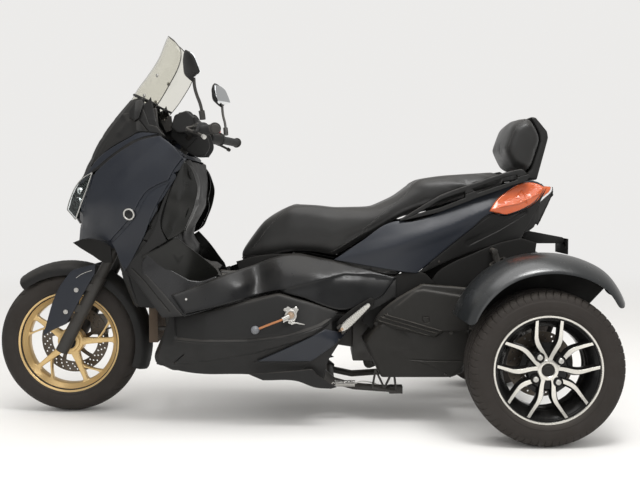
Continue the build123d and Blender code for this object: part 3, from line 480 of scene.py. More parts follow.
def stitchTree():
    enter, add, close = newTree("stitchRow", [
        ("Geometry", "Geometry"), ("Pitch", "Float"), ("Long", "Float"), ("Thick", "Float"),
        ("Seed", "Int"), ("Finish", "Material")])
    line = add("GeometryNodeMeshToCurve", {0: enter["Geometry"]})
    spots = add("GeometryNodeResampleCurve", {"Curve": line.outputs[0], "Length": enter["Pitch"]},
                mode="LENGTH")
    bead = add("GeometryNodeMeshUVSphere", {"Segments": 8, "Rings": 6, "Radius": 0.5})
    tangent = add("GeometryNodeInputTangent")
    turn = add("FunctionNodeAlignRotationToVector", {"Vector": tangent.outputs[0]}, axis="X")
    varied = randomValue(add, enter["Seed"], 0.9, 1.08)
    long = add("ShaderNodeMath", {0: enter["Long"], 1: varied}, operation="MULTIPLY")
    size = add("ShaderNodeCombineXYZ", {0: long.outputs[0], 1: enter["Thick"], 2: enter["Thick"]})
    copies = add("GeometryNodeInstanceOnPoints", {"Points": spots.outputs[0],
        "Instance": bead.outputs["Mesh"], "Rotation": turn.outputs[0], "Scale": size.outputs[0]})
    return close(copies.outputs[0])


def atPointsTree():
    enter, add, close = newTree("piecesAtPoints", [
        ("Geometry", "Geometry"), ("Piece", "Object"), ("Seed", "Int"), ("Finish", "Material")])
    facing = add("GeometryNodeInputNamedAttribute", {"Name": "facing"}, data_type="FLOAT_VECTOR")
    size = add("GeometryNodeInputNamedAttribute", {"Name": "size"}, data_type="FLOAT")
    source = add("GeometryNodeObjectInfo", {"Object": enter["Piece"]})
    varied = randomValue(add, enter["Seed"], 0.0, 1.0)
    angle = add("ShaderNodeMath", {0: varied, 1: math.tau}, operation="MULTIPLY")
    spin = add("FunctionNodeAxisAngleToRotation", {"Axis": (0, 0, 1), "Angle": angle.outputs[0]})
    turn = add("FunctionNodeAlignRotationToVector", {"Rotation": spin.outputs[0],
        "Vector": facing.outputs[0]}, axis="Z")
    copies = add("GeometryNodeInstanceOnPoints", {
        "Points": enter["Geometry"], "Instance": source.outputs["Geometry"], "Rotation": turn.outputs[0],
        "Scale": size.outputs[0]})
    return close(copies.outputs[0])


def coilTree():
    enter, add, close = newTree("coilSpring", [
        ("Geometry", "Geometry"), ("Radius", "Float"), ("Height", "Float"), ("Turns", "Float"),
        ("Wire", "Float"),
        ("Place", "Vector"), ("Lean", "Vector"), ("Finish", "Material")])
    line = add("GeometryNodeCurveSpiral", {
        "Resolution": 20, "Rotations": enter["Turns"], "Start Radius": enter["Radius"],
        "End Radius": enter["Radius"], "Height": enter["Height"]})
    ring = add("GeometryNodeCurvePrimitiveCircle", {"Resolution": 10, "Radius": enter["Wire"]})
    tube = add("GeometryNodeCurveToMesh", {"Curve": line.outputs[0], "Profile Curve": ring.outputs[0],
        "Fill Caps": True})
    smooth = add("GeometryNodeSetShadeSmooth", {"Geometry": tube.outputs[0]})
    spin = add("FunctionNodeEulerToRotation", {0: enter["Lean"]})
    placed = add("GeometryNodeTransform", {"Geometry": smooth.outputs[0], "Translation": enter["Place"],
        "Rotation": spin.outputs[0]})
    return close(placed.outputs[0])


heads = []
trees = {"around": copiesAroundTree(), "stitch": stitchTree(), "points": atPointsTree(), "coil": coilTree()}


def copiesAround(obj, copies, start, centre, finish, weld=1e-5):
    return runTree(trees["around"], obj, Copies=copies, Start=math.radians(start), Centre=tuple(centre),
                   Weld=weld, Finish=finishes[finish])


def stitchRow(name, points, finish, body, pitch=3.6, long=2.7, thick=0.8, seed=3):
    line = addMesh(name, points, [], [(i, i + 1) for i in range(len(points) - 1)])
    runTree(trees["stitch"], line, Pitch=pitch * mm, Long=long * mm, Thick=thick * mm, Seed=seed,
            Finish=finishes[finish])
    line.data.shade_smooth()
    return dress(line, finish, body)


def coilSpring(name, foot, head, radius, wire, turns, finish, body):
    foot, head = Vector(foot), Vector(head)
    lean = (head - foot).to_track_quat("Z", "X").to_euler()
    holder = addMesh(name, [(0, 0, 0)], [])
    runTree(trees["coil"], holder, Radius=radius, Height=(head - foot).length, Turns=float(turns), Wire=wire,
            Place=tuple(foot), Lean=tuple(lean), Finish=finishes[finish])
    return dress(tidyMesh(holder), finish, body)


def boltHead(name, radius, height, socket, washer=0.0, sides=6, around=24):
    # round head with a six-sided socket, seat on the plane z = 0
    rows = [(radius * (1 + washer), 0), (radius * (1 + washer), height * 0.18), (radius, height * 0.22),
            (radius, height * 0.8),
            (radius * 0.86, height), (radius * socket, height), (radius * socket, height * 0.45)]
    rings = []
    for i, (r, z) in enumerate(rows):
        ring = []
        for j in range(around):
            a = math.tau * j / around
            fromFlat = a % (math.tau / sides) - math.pi / sides
            hexed = math.cos(math.pi / sides) / math.cos(fromFlat) if i >= 5 else 1
            ring.append((r * hexed * math.cos(a) * mm, r * hexed * math.sin(a) * mm, z * mm))
        rings.append(ring)
    heads.append(solidRings(name, rings, 35))
    return heads[-1]


def putAt(name, head, places, finish, body, seed=5):
    # copies of one head: rows of x, y, z in mm, facing x, y, z, and a size factor
    spots = addMesh(name, [(p[0] * mm, p[1] * mm, p[2] * mm) for p in places], [])
    for label, kind in (("facing", "FLOAT_VECTOR"), ("size", "FLOAT")):
        spots.data.attributes.new(label, kind, "POINT")
    facing, size = spots.data.attributes["facing"], spots.data.attributes["size"]
    for i, p in enumerate(places):
        facing.data[i].vector = Vector(p[3:6]).normalized()
        size.data[i].value = p[6] if len(p) > 6 else 1.0
    runTree(trees["points"], spots, Piece=head, Seed=seed, Finish=finishes[finish])
    return dress(shadeByAngle(spots, 35), finish, body)


boltHeads = {
    "small": boltHead("boltSmall", 4.2, 2.6, 0.48),
    "flange": boltHead("boltFlange", 5.6, 4.8, 0.42, 0.35),
    "lug": boltHead("boltLug", 9.2, 6.0, 0.4),
}


# smooth stand-ins for CAD nodes

def cadCopy(name, node):
    return tidyMesh(addObject(name, nodes[node].data.copy()), 1e-5)


def refine(node, finish, body, bevel, sharp=35):
    # the CAD shape with small rounded edges
    obj = cadCopy(node + "Shape", node)
    with opened(obj) as bm:
        bmesh.ops.dissolve_limit(bm, angle_limit=math.radians(1), verts=bm.verts, edges=bm.edges)
    addStep(obj, "BEVEL", width=bevel * mm, segments=2, limit_method="ANGLE", angle_limit=math.radians(sharp),
            use_clamp_overlap=True, harden_normals=False)
    return dress(shadeByAngle(bakeModifiers(obj), sharp), finish, body, node)


# rear edge of the knee shield in the side view: heights, then how far back it reaches
kneeLine = {
    "heights": (0.54, 0.563, 0.604, 0.67, 0.71, 0.765, 0.808, 0.827, 0.89, 0.984),
    "edge": (-0.24, -0.271, -0.32, -0.387, -0.392, -0.358, -0.334, -0.338, -0.326, -0.336),
    "nodes": ("leg_shield", "floor_tunnel"),
    # forward with the distance from the middle plane, and what is left of the depth behind the edge
    "sweep": 0.137, "left": 0.04,
}
evenFaces = 9000


def soften(node, finish, body, voxel, passes, shrink):
    # the CAD shape melted a little: even small faces, smoothed
    # (no voxel size: the faces are only divided, which keeps thin walls whole)
    obj = cadCopy(node + "Soft", node)
    if voxel:
        addStep(obj, "REMESH", mode="VOXEL", voxel_size=voxel * mm)
    else:
        addStep(obj, "SUBSURF", subdivision_type="SIMPLE",
                levels=max(1, int(math.log(evenFaces / len(obj.data.polygons), 4))))
    meltMesh(bakeModifiers(obj), passes, shrink)
    if node in kneeLine["nodes"]:
        for vert in obj.data.vertices:
            line = float(np.interp(vert.co.z, kneeLine["heights"], kneeLine["edge"]))
            edge = line - kneeLine["sweep"] * abs(vert.co.y)
            if vert.co.x > edge:
                vert.co.x = edge + (vert.co.x - edge) * kneeLine["left"]
    obj.data.shade_smooth()
    return dress(obj, finish, body, node)


# panels seen from the side: an outline in the side view, and the depth of the CAD skin made smooth

def cadSkin(names):
    points, faces = [], []
    for node in names:
        mesh = nodes[node].data
        faces += [tuple(i + len(points) for i in f.vertices) for f in mesh.polygons]
        points += [v.co.copy() for v in mesh.vertices]
    return BVHTree.FromPolygons(points, faces)


def insideLoop(points, loop):
    inside = np.zeros(len(points), bool)
    x, z = points[:, 0], points[:, 1]
    for (ax, az), (bx, bz) in zip(loop, np.roll(loop, -1, axis=0)):
        crosses = ((az > z) != (bz > z)) & (x < (bx - ax) * (z - az) / (bz - az + 1e-12) + ax)
        inside ^= crosses
    return inside


def farFromLine(points, line, closed=False):
    # distance of every point to a line, and the side of it that the point is on
    line = np.array([p[:2] for p in line], float)
    ends = np.roll(line, -1, axis=0) if closed else line[1:]
    starts = line if closed else line[:-1]
    best = np.full(len(points), 1e9)
    side = np.ones(len(points))
    for a, b in zip(starts, ends):
        run = b - a
        t = np.clip(((points - a) @ run) / max(run @ run, 1e-9), 0, 1)
        away = points - (a + t[:, None] * run)
        far = np.hypot(away[:, 0], away[:, 1])
        cross = run[0] * (points[:, 1] - a[1]) - run[1] * (points[:, 0] - a[0])
        nearer = far < best
        best = np.where(nearer, far, best)
        side = np.where(nearer, np.where(cross >= 0, 1.0, -1.0), side)
    return best, side


def thinPlate(known, values, where, slack):
    known, where = known / 100.0, where / 100.0

    def kernel(a, b):
        r2 = ((a[:, None] - b[None]) ** 2).sum(-1)
        return 0.5 * r2 * np.log(r2 + 1e-12)

    size = len(known)
    system = np.zeros((size + 3, size + 3))
    system[:size, :size] = kernel(known, known) + slack * np.eye(size)
    system[:size, size:] = np.c_[np.ones(size), known]
    system[size:, :size] = system[:size, size:].T
    weights = np.linalg.lstsq(system, np.r_[values, 0, 0, 0], rcond=None)[0]
    return kernel(where, known) @ weights[:size] + np.c_[np.ones(len(where)), where] @ weights[size:]


def smoothStep(x):
    x = np.clip(x, 0, 1)
    return x * x * (3 - 2 * x)


def shapeDepth(points, depth, features):
    # features: kind, line, height and width in mm
    for kind, line, height, width in features:
        far, side = farFromLine(points, line, kind == "dish")
        if kind == "crease":
            depth = depth + height * np.clip(1 - far / width, 0, None)
        elif kind == "ledge":
            depth = depth + height * smoothStep(0.5 + 0.5 * far * side / width)
        elif kind == "dish":
            inside = insideLoop(points, np.array([p[:2] for p in line], float))
            depth = depth - height * np.where(inside, smoothStep(far / width), 0)
        else:
            band = height * smoothStep(1.5 - 1.5 * far / width)
            depth = depth + (band if kind == "rib" else -band)
    return depth


def featureSpots(features):
    # rows of points beside every feature, so that the mesh can follow it
    spots = [np.zeros((0, 2))]
    for kind, line, height, width in features:
        loop = [p[:2] for p in line]
        if kind == "dish":
            loop = loop + loop[:1]
        fine = smoothLine([(*p, 1) for p in loop], 5.0)
        run = np.gradient(fine, axis=0)
        run /= np.maximum(np.hypot(run[:, 0], run[:, 1]), 1e-9)[:, None]
        across = np.c_[-run[:, 1], run[:, 0]]
        for away in (0.0,) if kind == "crease" else (-width, -width / 3, 0.0, width / 3, width):
            spots.append(fine + across * away)
    return np.concatenate(spots)


def heightPanel(name, outline, finish, body="chassis", skin=None, pins=None, features=(), roll=3.0, wall=4.0,
                cell=9.0, slack=0.05, lift=0.0, stands=(), mirrored=True, lastPins=()):
    # a plate with a rounded edge, as deep as its pins or the CAD skin say; roll, wall and cell are in mm
    edge = smoothLine(outline, 5.0, True)
    keep = [0]
    for i in range(1, len(edge)):
        if np.hypot(*(edge[i] - edge[keep[-1]])) > 0.4:
            keep.append(i)
    edge = edge[keep]
    low, high = edge.min(0), edge.max(0)

    def hexGrid(size, inset):
        rows = []
        for k, z in enumerate(np.arange(low[1], high[1] + size, size * 0.866)):
            for x in np.arange(low[0] + (k % 2) * size / 2, high[0] + size, size):
                rows.append((x, z))
        grid = np.array(rows)
        grid = grid[insideLoop(grid, edge)]
        if len(grid):
            grid = grid[farFromLine(grid, edge, True)[0] > inset]
        return grid

    run = np.roll(edge, -1, axis=0) - np.roll(edge, 1, axis=0)
    run /= np.maximum(np.hypot(run[:, 0], run[:, 1]), 1e-9)[:, None]
    area = 0.5 * np.sum(edge[:, 0] * np.roll(edge[:, 1], -1) - np.roll(edge[:, 0], -1) * edge[:, 1])
    inward = np.c_[-run[:, 1], run[:, 0]] * (1 if area > 0 else -1)
    spots = [edge]
    for inset in (0.25 * roll, 0.6 * roll, roll):
        ring = edge + inward * inset
        ring = ring[insideLoop(ring, edge)]
        ring = ring[farFromLine(ring, edge, True)[0] > inset * 0.9]
        spots.append(ring)
    extra = featureSpots(features)
    if len(extra):
        extra = extra[insideLoop(extra, edge)]
        extra = extra[farFromLine(extra, edge, True)[0] > roll * 1.3]
        spots.append(extra)
    grid = hexGrid(cell, roll + cell * 0.45)
    if len(extra) and len(grid):
        near = np.min(((grid[:, None] - extra[None]) ** 2).sum(-1), axis=1)
        grid = grid[near > (cell * 0.4) ** 2]
    spots.append(grid)
    flat = np.concatenate([s for s in spots if len(s)])
    ring = list(range(len(edge)))
    points, _, faces, _, _, _ = delaunay_2d_cdt([Vector(p) for p in flat], [], [ring], 1, 1e-4)
    points = np.array([tuple(p) for p in points])
    if not pins:
        tree = cadSkin(skin)
        known, values = [], []
        probe = np.concatenate([hexGrid(34.0, 5.0), (edge + inward * 5.0)[::6]])
        for x, z in probe:
            hit = tree.ray_cast(Vector((x * mm, -2.0, z * mm)), Vector((0, 1, 0)))
            if hit[0] is not None and hit[0].y < -0.02:
                known.append((x, z))
                values.append(-hit[0].y * 1000)
        for x, z, y in lastPins:
            known.append((x, z))
            values.append(y)
        known, values = np.array(known), np.array(values)
        depth = thinPlate(known, values, points, slack)
    else:
        table = np.array(pins, float)
        depth = thinPlate(table[:, :2], table[:, 2], points, 1e-4)
    depth = shapeDepth(points, depth + lift, features)
    toEdge = farFromLine(points, edge, True)[0]
    rounding = roll - np.sqrt(np.clip(roll ** 2 - (roll - np.clip(toEdge, 0, roll)) ** 2, 0, None))
    outer = np.c_[points[:, 0], -(depth - rounding), points[:, 1]]
    inner = np.c_[points[:, 0], -(depth - roll - wall), points[:, 1]]
    count = len(points)
    sides = {}
    for face in faces:
        for a, b in zip(face, face[1:] + face[:1]):
            sides[(a, b)] = sides.get((a, b), 0) + 1
    rim = [(a, b) for a, b in sides if (b, a) not in sides]
    allFaces = [tuple(f) for f in faces] + [tuple(i + count for i in f[::-1]) for f in faces]
    allFaces += [(b, a, a + count, b + count) for a, b in rim]
    obj = addMesh(name, np.concatenate([outer, inner]) * mm, allFaces)
    tidyMesh(obj)
    if mirrored:
        addMirrored(obj)
    return dress(shadeByAngle(obj, 32), finish, body, *stands)


def toSide(points, depth=0):
    # picture points to side-view millimetres at a distance from the middle plane
    k = 3.92 * (1 - depth / 3200)
    return [(111 + (p[0] - 320) * k, 839 - (p[1] - 197) * k, *p[2:]) for p in points]


# wheels

frontAxle = (-0.867, 0.0, 0.2745)
rearAxle = {"left": (0.871, -0.445, 0.264), "right": (0.871, 0.445, 0.264)}

frontWheel = {
    "copies": 5, "start": 2.0,
    "barrel": [
        (203.4, -51), (203.4, -48), (192, -45), (190.4, -37), (174, -24), (172, -18), (172, 18), (174, 24),
        (190.4, 37), (192, 45), (203.4, 48), (203.4, 51), (200, 51.2), (196, 49), (190, 47.5), (187.5, 44),
        (186, 37), (181, 33.5), (178.5, 28), (169, 22), (166, 16), (166, -16), (169, -22), (178.5, -28),
        (181, -33.5), (186, -37), (187.5, -44), (190, -47.5), (196, -49), (200, -51.2)
    ],
    "hub": [
        (13, -44), (27, -44), (30, -41), (30, -38), (37, -36.5), (39, -33), (39, -30), (48, -27),
        (52, -20), (52, 18), (46, 26), (44, 30), (30, 32), (28, 38), (13, 38)
    ],
    "seal": [(13, -46), (24, -46), (26, -44), (26, -40), (13, -40)],
    # distance from the axle, turn in degrees, half width, front face, back face
    "stem": [
        (40, 0, 17, -27, 16), (60, 0, 13.5, -27, 14), (90, 0, 11.2, -25, 11), (116, 0, 10.4, -23, 9),
        (142, 0, 8.6, -21, 8), (158, 0, 9.2, -20.5, 9), (166, 0, 13, -21, 12), (168.5, 0, 19, -21.5, 13)
    ],
    "branch": [
        (104, 3.5, 6.5, -21, 6), (112, 6.6, 5.6, -20.5, 6), (128, 13.2, 4.8, -19.5, 6),
        (146, 19.4, 4.4, -19, 6), (158, 22.6, 5.2, -19, 7), (166, 24.3, 8.5, -20, 9),
        (168.5, 24.8, 12.5, -20.5, 10)
    ],
}
rearWheel = {
    "copies": 5, "start": 89.5, "lugs": (37, 124, 216, 310), "lugCircle": 52,
    "pocket": [
        (0, -67.3), (12.4, -67.3), (13, -68.6), (14.6, -69.6), (16.2, -68.8), (17, -65), (17, -46),
        (0, -46)
    ],
    "barrel": [
        (184, -70), (184, -67), (167, -63), (165, -52), (150, -38), (148, -30), (148, 34), (150, 42),
        (165, 54), (167, 66), (178, 67), (178, 70), (172, 70), (163, 66), (158, 54), (143, 42), (141, 34),
        (141, -26), (146, -38), (158, -50), (163, -58), (170, -64.5), (172, -68)
    ],
    "ring": [(184.6, -71), (184.6, -69.5), (175.5, -67.5), (176, -69.4), (177.6, -71.8), (183, -72.4)],
    "hub": [(28, -60), (66, -55), (72, -48), (72, -36), (60, -26), (28, -26)],
    "face": [(22, -66.5), (24, -68.4), (29, -68.6), (33.5, -67.4), (36, -64.5), (36, -52), (22, -52)],
    "cap": [(0, -67.4), (13, -67.2), (14, -66.2), (20, -65.8), (22, -64), (22, -56), (0, -56)],
    # distance, turn, half width of the bright face, half width of the black base, front, back
    "spoke": [
        (31, 8.0, 7.6, 9, -66.4, -40), (45, 12.5, 6.8, 12, -65.2, -38), (60, 16.8, 7.0, 14, -63.4, -36),
        (78, 20.4, 7.5, 14.5, -61.8, -34), (95, 21.8, 7.6, 13.5, -61.2, -32),
        (112, 20.9, 7.0, 12, -61.6, -31), (130, 18.3, 6.3, 11, -63.2, -31),
        (150, 15.9, 5.7, 10.5, -66.2, -32), (171, 14.0, 5.4, 12, -71.0, -38)
    ],
    "web": [
        (28, 0, 16, 0, -50, -38), (44, 0, 15, 0, -49, -36), (60, 0, 19, 0, -46.5, -34),
        (76, 0, 26, 0, -42, -30), (88, 0, 31, 0, -37, -27)
    ],
}


def acrossSpoke(radius, turn):
    # places beside a ray from the axle: a step to the side and a width, both in mm
    cos, sin = math.cos(math.radians(turn)), math.sin(math.radians(turn))
    return lambda s, y: ((radius * cos - s * sin) * mm, y * mm, (radius * sin + s * cos) * mm)


def spokeRings(rows, taper=0.82, steps=20):
    rings = []
    for r, turn, half, front, back in alongTable(rows, np.linspace(rows[0][0], rows[-1][0], steps)):
        at = acrossSpoke(r, turn)
        middle, edge, narrow = (front + back) / 2, front + 2.4, half * taper
        section = [(-narrow, front), (narrow, front), (half, edge), (half, middle), (narrow, back),
                   (-narrow, back), (-half, middle), (-half, edge)]
        rings.append([at(s, y) for s, y in section])
    return rings


def capped(name, rings):
    return addMesh(name, *joinRings(rings, True, False, True))


def buildFrontWheel():
    w = frontWheel
    barrel = lathe("frontBarrel", w["barrel"], frontAxle, 120, sharp=50)
    hub = lathe("frontHub", w["hub"], frontAxle, 72, sharp=28)
    stem = capped("frontStem", spokeRings(w["stem"], 0.7))
    branch = capped("frontBranch", spokeRings(w["branch"], 0.62))
    spokes = shadeByAngle(tidyMesh(mergeInto("frontSpokes", [stem, branch])), 34)
    copiesAround(spokes, w["copies"], w["start"], frontAxle, "goldPaint")
    dress(mergeInto("frontWheelCast", [barrel, hub, spokes]), "goldPaint", "front_wheel", "front_rim")
    dress(lathe("frontHubSeal", w["seal"], frontAxle, 48), "blackPlastic", "front_wheel")
    x, y, z = frontAxle
    valve = [(x + 0.155, -0.006, z + 0.052), (x + 0.138, -0.010, z + 0.046), (x + 0.126, -0.012, z + 0.042)]
    rodPiece("frontValve", "blackPlastic", "front_wheel", 0.0036, 8, valve)


def buildRearWheel(side):
    w = rearWheel
    body = "rear_wheel_" + side
    out = 1 if side == "left" else -1
    axle = rearAxle[side]

    def turned(name, part, steps, sharp, centre=axle):
        return lathe(name + side, [(r, y * out) for r, y in w[part]], centre, steps, sharp)

    barrel = turned("rearBarrel", "barrel", 120, 40)
    hub = turned("rearHub", "hub", 72, 40)
    bright, dark = [], []
    first, last = w["spoke"][0][0], w["spoke"][-1][0]
    for hand in (1, -1):
        faceRings, baseRings = [], []
        for r, turn, half, base, front, back in alongTable(w["spoke"], np.linspace(first, last, 34)):
            at = acrossSpoke(r, turn * hand)
            deep = front + (back - front) * 0.45
            face = [(-half, front + 0.8), (-half + 0.7, front), (half - 0.7, front), (half, front + 0.8),
                    (half, front + 2.6), (-half, front + 2.6)]
            under = [(-half - 0.3, front + 0.9), (half + 0.3, front + 0.9), (base, deep), (base * 0.92, back),
                     (-base * 0.92, back), (-base, deep)]
            faceRings.append([at(s, y * out) for s, y in face])
            baseRings.append([at(s, y * out) for s, y in under])
        bright.append(capped("face", faceRings))
        dark.append(capped("base", baseRings))
    webRings = []
    webRows = alongTable(w["web"], np.linspace(w["web"][0][0], w["web"][-1][0], 10))
    for r, turn, half, base, front, back in webRows:
        section = ((-half, front), (0, front - 2), (half, front), (half, back), (-half, back))
        webRings.append([(r * mm, y * out * mm, s * mm) for s, y in section])
    dark.append(capped("web", webRings))
    faces = shadeByAngle(tidyMesh(mergeInto("rearSpokeFaces" + side, bright)), 30)
    bases = shadeByAngle(tidyMesh(mergeInto("rearSpokeBases" + side, dark)), 36)
    copiesAround(faces, w["copies"], w["start"], axle, "machined", 0.0)
    copiesAround(bases, w["copies"], w["start"], axle, "pocketBlack", 0.0)
    ring = turned("rearLipRing", "ring", 128, 40)
    hubFace = turned("rearHubFace", "face", 72, 30)
    dress(mergeInto("rearBright" + side, [faces, ring, hubFace]), "machined", body)
    cap = turned("rearCap", "cap", 64, 30)
    places = [aroundAxle(axle, w["lugCircle"], 0, math.radians(turn)) for turn in w["lugs"]]
    pockets = [turned("pocket", "pocket", 32, 40, place) for place in places]
    dress(mergeInto("rearCast" + side, [barrel, hub, bases] + pockets), "pocketBlack", body,
          "rear_rim_" + side)
    dress(cap, "caseBlack", body)
    lugs = [(x / mm, y / mm - out * 67, z / mm, 0, -out, 0) for x, y, z in places]
    putAt("rearLugs" + side, boltHeads["lug"], lugs, "zincSteel", body)


tyres = {
    # cuts: shares of one pitch of the tread, 1 where the tyre is cut
    "rear": {
        "pitches": 64,
        "cuts": [(0.0, 0), (0.22, 0), (0.4, 0), (0.44, 1), (0.53, 1), (0.57, 0), (0.78, 0), (1.0, 0)],
        "section": [
            (182, 62, 1), (184, 69), (190, 76), (199, 80.4, 1), (201, 79.6, 1), (212, 82.4), (224, 82.5),
            (232, 81.2, 1), (233.5, 80, 1), (242, 77.5), (250, 73.2), (256, 67, 1), (260.5, 58),
            (262.4, 45), (263.6, 25), (264, 0)
        ],
        "grooves": ((20, 4.2, 6.5), (44, 4.2, 6.5)), "shoulder": (238, 262.2), "sipe": 3.6, "lean": 0.9,
        "inner": 172, "step": 3.4
    },
    "front": {
        "pitches": 26,
        "cuts": [
            (0.0, 0), (0.12, 0), (0.24, 0), (0.36, 0), (0.42, 0), (0.46, 1), (0.52, 1), (0.56, 0),
            (0.68, 0), (0.8, 0), (0.9, 0), (1.0, 0)
        ],
        "section": [
            (194, 45, 1), (196, 50), (203, 54.5, 1), (205, 54.2, 1), (218, 58.6), (232, 60), (245, 56.8),
            (257, 47.5), (266.5, 34), (272.6, 17), (274.4, 0)
        ],
        "grooves": ((6, 2.6, 4.0),), "shoulder": (249, 273.0), "sipe": 3.2, "lean": 1.1, "inner": 186,
        "step": 2.8
    },
}


def buildTyre(name, kind, centre, body, node):
    t = tyres[kind]
    half = smoothLine([(y, r, *c) for r, y, *c in t["section"]], t["step"])
    rows = [(r, -y, 0.0) for y, r in half] + [(r, y, 0.0) for y, r in half[::-1][1:]]
    low, high = t["shoulder"]

    def crown(y):
        return float(np.interp(abs(y), half[::-1][:, 0], half[::-1][:, 1]))

    # grooves around the tyre, with walls of their own rows
    for middle, width, depth in t["grooves"]:
        for sign in (-1, 1):
            a, b = sign * middle - width, sign * middle + width
            rows = [row for row in rows if not (a - 1 < row[1] < b + 1 and row[0] > low)]
            rows += [(crown(a), a, 0), (crown(a) - depth, a + 0.8, 1), (crown(b) - depth, b - 0.8, 1),
                     (crown(b), b, 0)]
    top = sorted([row for row in rows if row[0] > low - 3], key=lambda row: row[1])
    left = [row for row in rows if row[0] <= low - 3 and row[1] < 0]
    right = [row for row in rows if row[0] <= low - 3 and row[1] > 0]
    rows = left + top + right + [(t["inner"], half[0][0], 0), (t["inner"], -half[0][0], 0)]
    pitch = math.tau / t["pitches"]
    rings = []
    for share, cut in t["cuts"]:
        ring = []
        for r, y, groove in rows:
            band = smoothStep((r - low) / 3.0) * smoothStep((high - r) / 1.0 + 0.5) if not groove else 0
            if kind == "rear" and r >= high:
                band = 0.55 if abs(y) > 26 else 0.0
            deep = t["sipe"] * cut * float(band)
            lean = t["lean"] * min(abs(y) / 60.0, 1.2) * (1 if kind == "rear" else np.sign(y))
            ring.append(aroundAxle((0, 0, 0), r - deep, y, (share + lean) * pitch))
        rings.append(ring)
    obj = addMesh(name, *joinRings(rings))
    with opened(obj) as bm:
        bmesh.ops.recalc_face_normals(bm, faces=bm.faces)
    copiesAround(obj, t["pitches"], 0, centre, "tyreRubber", 2e-5)
    return dress(shadeByAngle(tidyMesh(obj), 38), "tyreRubber", body, node)


def buildDisc(name, centre, y, radius, inner, holes, body, node, finish):
    # brake disc with three staggered rows of drilled holes, on five arms
    t = 2.4
    section = [(radius, y - t), (radius + 0.4, y), (radius, y + t), (inner, y + t), (inner, y - t)]
    solid = lathe(name, section, centre, 120)
    drills = []
    for i in range(holes):
        for k in range(3):
            r = inner + (radius - inner) * (0.24 + 0.26 * k)
            place = aroundAxle(centre, r, 0, math.tau / holes * (i + k * 0.36))
            drills.append(lathe("drill", [(0, y - 5), (3.4, y - 5), (3.4, y + 5), (0, y + 5)], place, 10))
    cutter = mergeInto(name + "Cut", drills)
    addStep(solid, "BOOLEAN", object=cutter, operation="DIFFERENCE", solver="EXACT")
    bakeModifiers(solid)
    bpy.data.objects.remove(cutter)
    armRows = [(30, 0, 13, y - 2, y + 2), (inner * 0.7, 8, 8, y - 2, y + 2), (inner + 5, 16, 9, y - 2, y + 2)]
    arm = capped("arm", spokeRings(armRows, 0.9, 10))
    copiesAround(arm, 5, 10, centre, finish, 0.0)
    hat = lathe("hat", [(22, y - 3), (36, y - 3), (38, y), (36, y + 3), (22, y + 3)], centre, 48)
    return dress(shadeByAngle(mergeInto(name, [solid, arm, hat]), 30), finish, body, node)


buildFrontWheel()
for side in rearAxle:
    buildRearWheel(side)
    buildTyre("rearTyre" + side, "rear", rearAxle[side], "rear_wheel_" + side, "rear_tyre_" + side)
buildTyre("frontTyre", "front", frontAxle, "front_wheel", "front_tyre")
buildDisc("frontDisc", frontAxle, 38.0, 132.5, 92, 26, "front_wheel", "front_disc", "discDark")
for side in rearAxle:
    buildDisc("rearDisc" + side, rearAxle[side], 42.5 if side == "left" else -42.5, 114, 66, 20,
              "rear_wheel_" + side, "rear_disc_" + side, "discDark")
print("wheels ready")


# inner shells follow the CAD; the painted panels lie on them
# name: finish, voxel size in mm (0: divided faces), passes of smoothing, how far it shrinks

shells = {
    "side_cowls": ("navyPaint", 0, 6, 2.0), "lower_cowl": ("blackPlastic", 0, 6, 2.0),
    "upper_cowl": ("blackPlastic", 0, 3, 1.0), "leg_shield": ("blackPlastic", 0, 6, 1.5),
    "floor_tunnel": ("blackPlastic", 0, 4, 2.0), "footboards": ("blackPlastic", 7.0, 6, 7.0),
    "side_covers": ("blackPlastic", 6.0, 6, 6.0), "tail_panels": ("blackPlastic", 0, 5, 3.0),
    "tail_lamps": ("amberLens", 4.5, 4, 3.0), "dashboard": ("blackPlastic", 5.0, 6, 0.0),
    "handlebar_cover": ("blackPlastic", 3.5, 4, 0.0), "drive_case": ("caseBlack", 6.0, 5, 4.0),
    "front_fender": ("blackPlastic", 0, 5, 0.0), "backrest_shell": ("blackPlastic", 4.0, 14, 0.0),
    "grab_rail": ("blackPlastic", 0, 1, 0.0), "grab_rail_base": ("blackPlastic", 0, 1, 0.0),
    "controls": ("blackPlastic", 2.5, 3, 0.0), "muffler": ("frameBlack", 5.0, 5, 0.0),
}
for node, (finish, voxel, passes, shrink) in shells.items():
    body = "steering" if node in ("front_fender", "controls", "handlebar_cover") else "chassis"
    soften(node, finish, body, voxel, passes, shrink)


# body panels: outlines in picture points of the left side, each at its distance from the middle plane

panelDepth = {}


def panel(name, depth, finish, outline, features=(), pins=(), lastPins=(), **rest):
    # features are lines on the panel; pins are picture points with the depth there
    def placed(rows):
        return [(*toSide([(x, z)], depth)[0], y) for x, z, y in rows]

    panelDepth[name] = depth
    features = [(kind, toSide(line, depth), *size) for kind, line, *size in features]
    return heightPanel(name + "Panel", toSide(outline, depth), finish, features=features,
                       pins=placed(pins), lastPins=placed(lastPins), **rest)


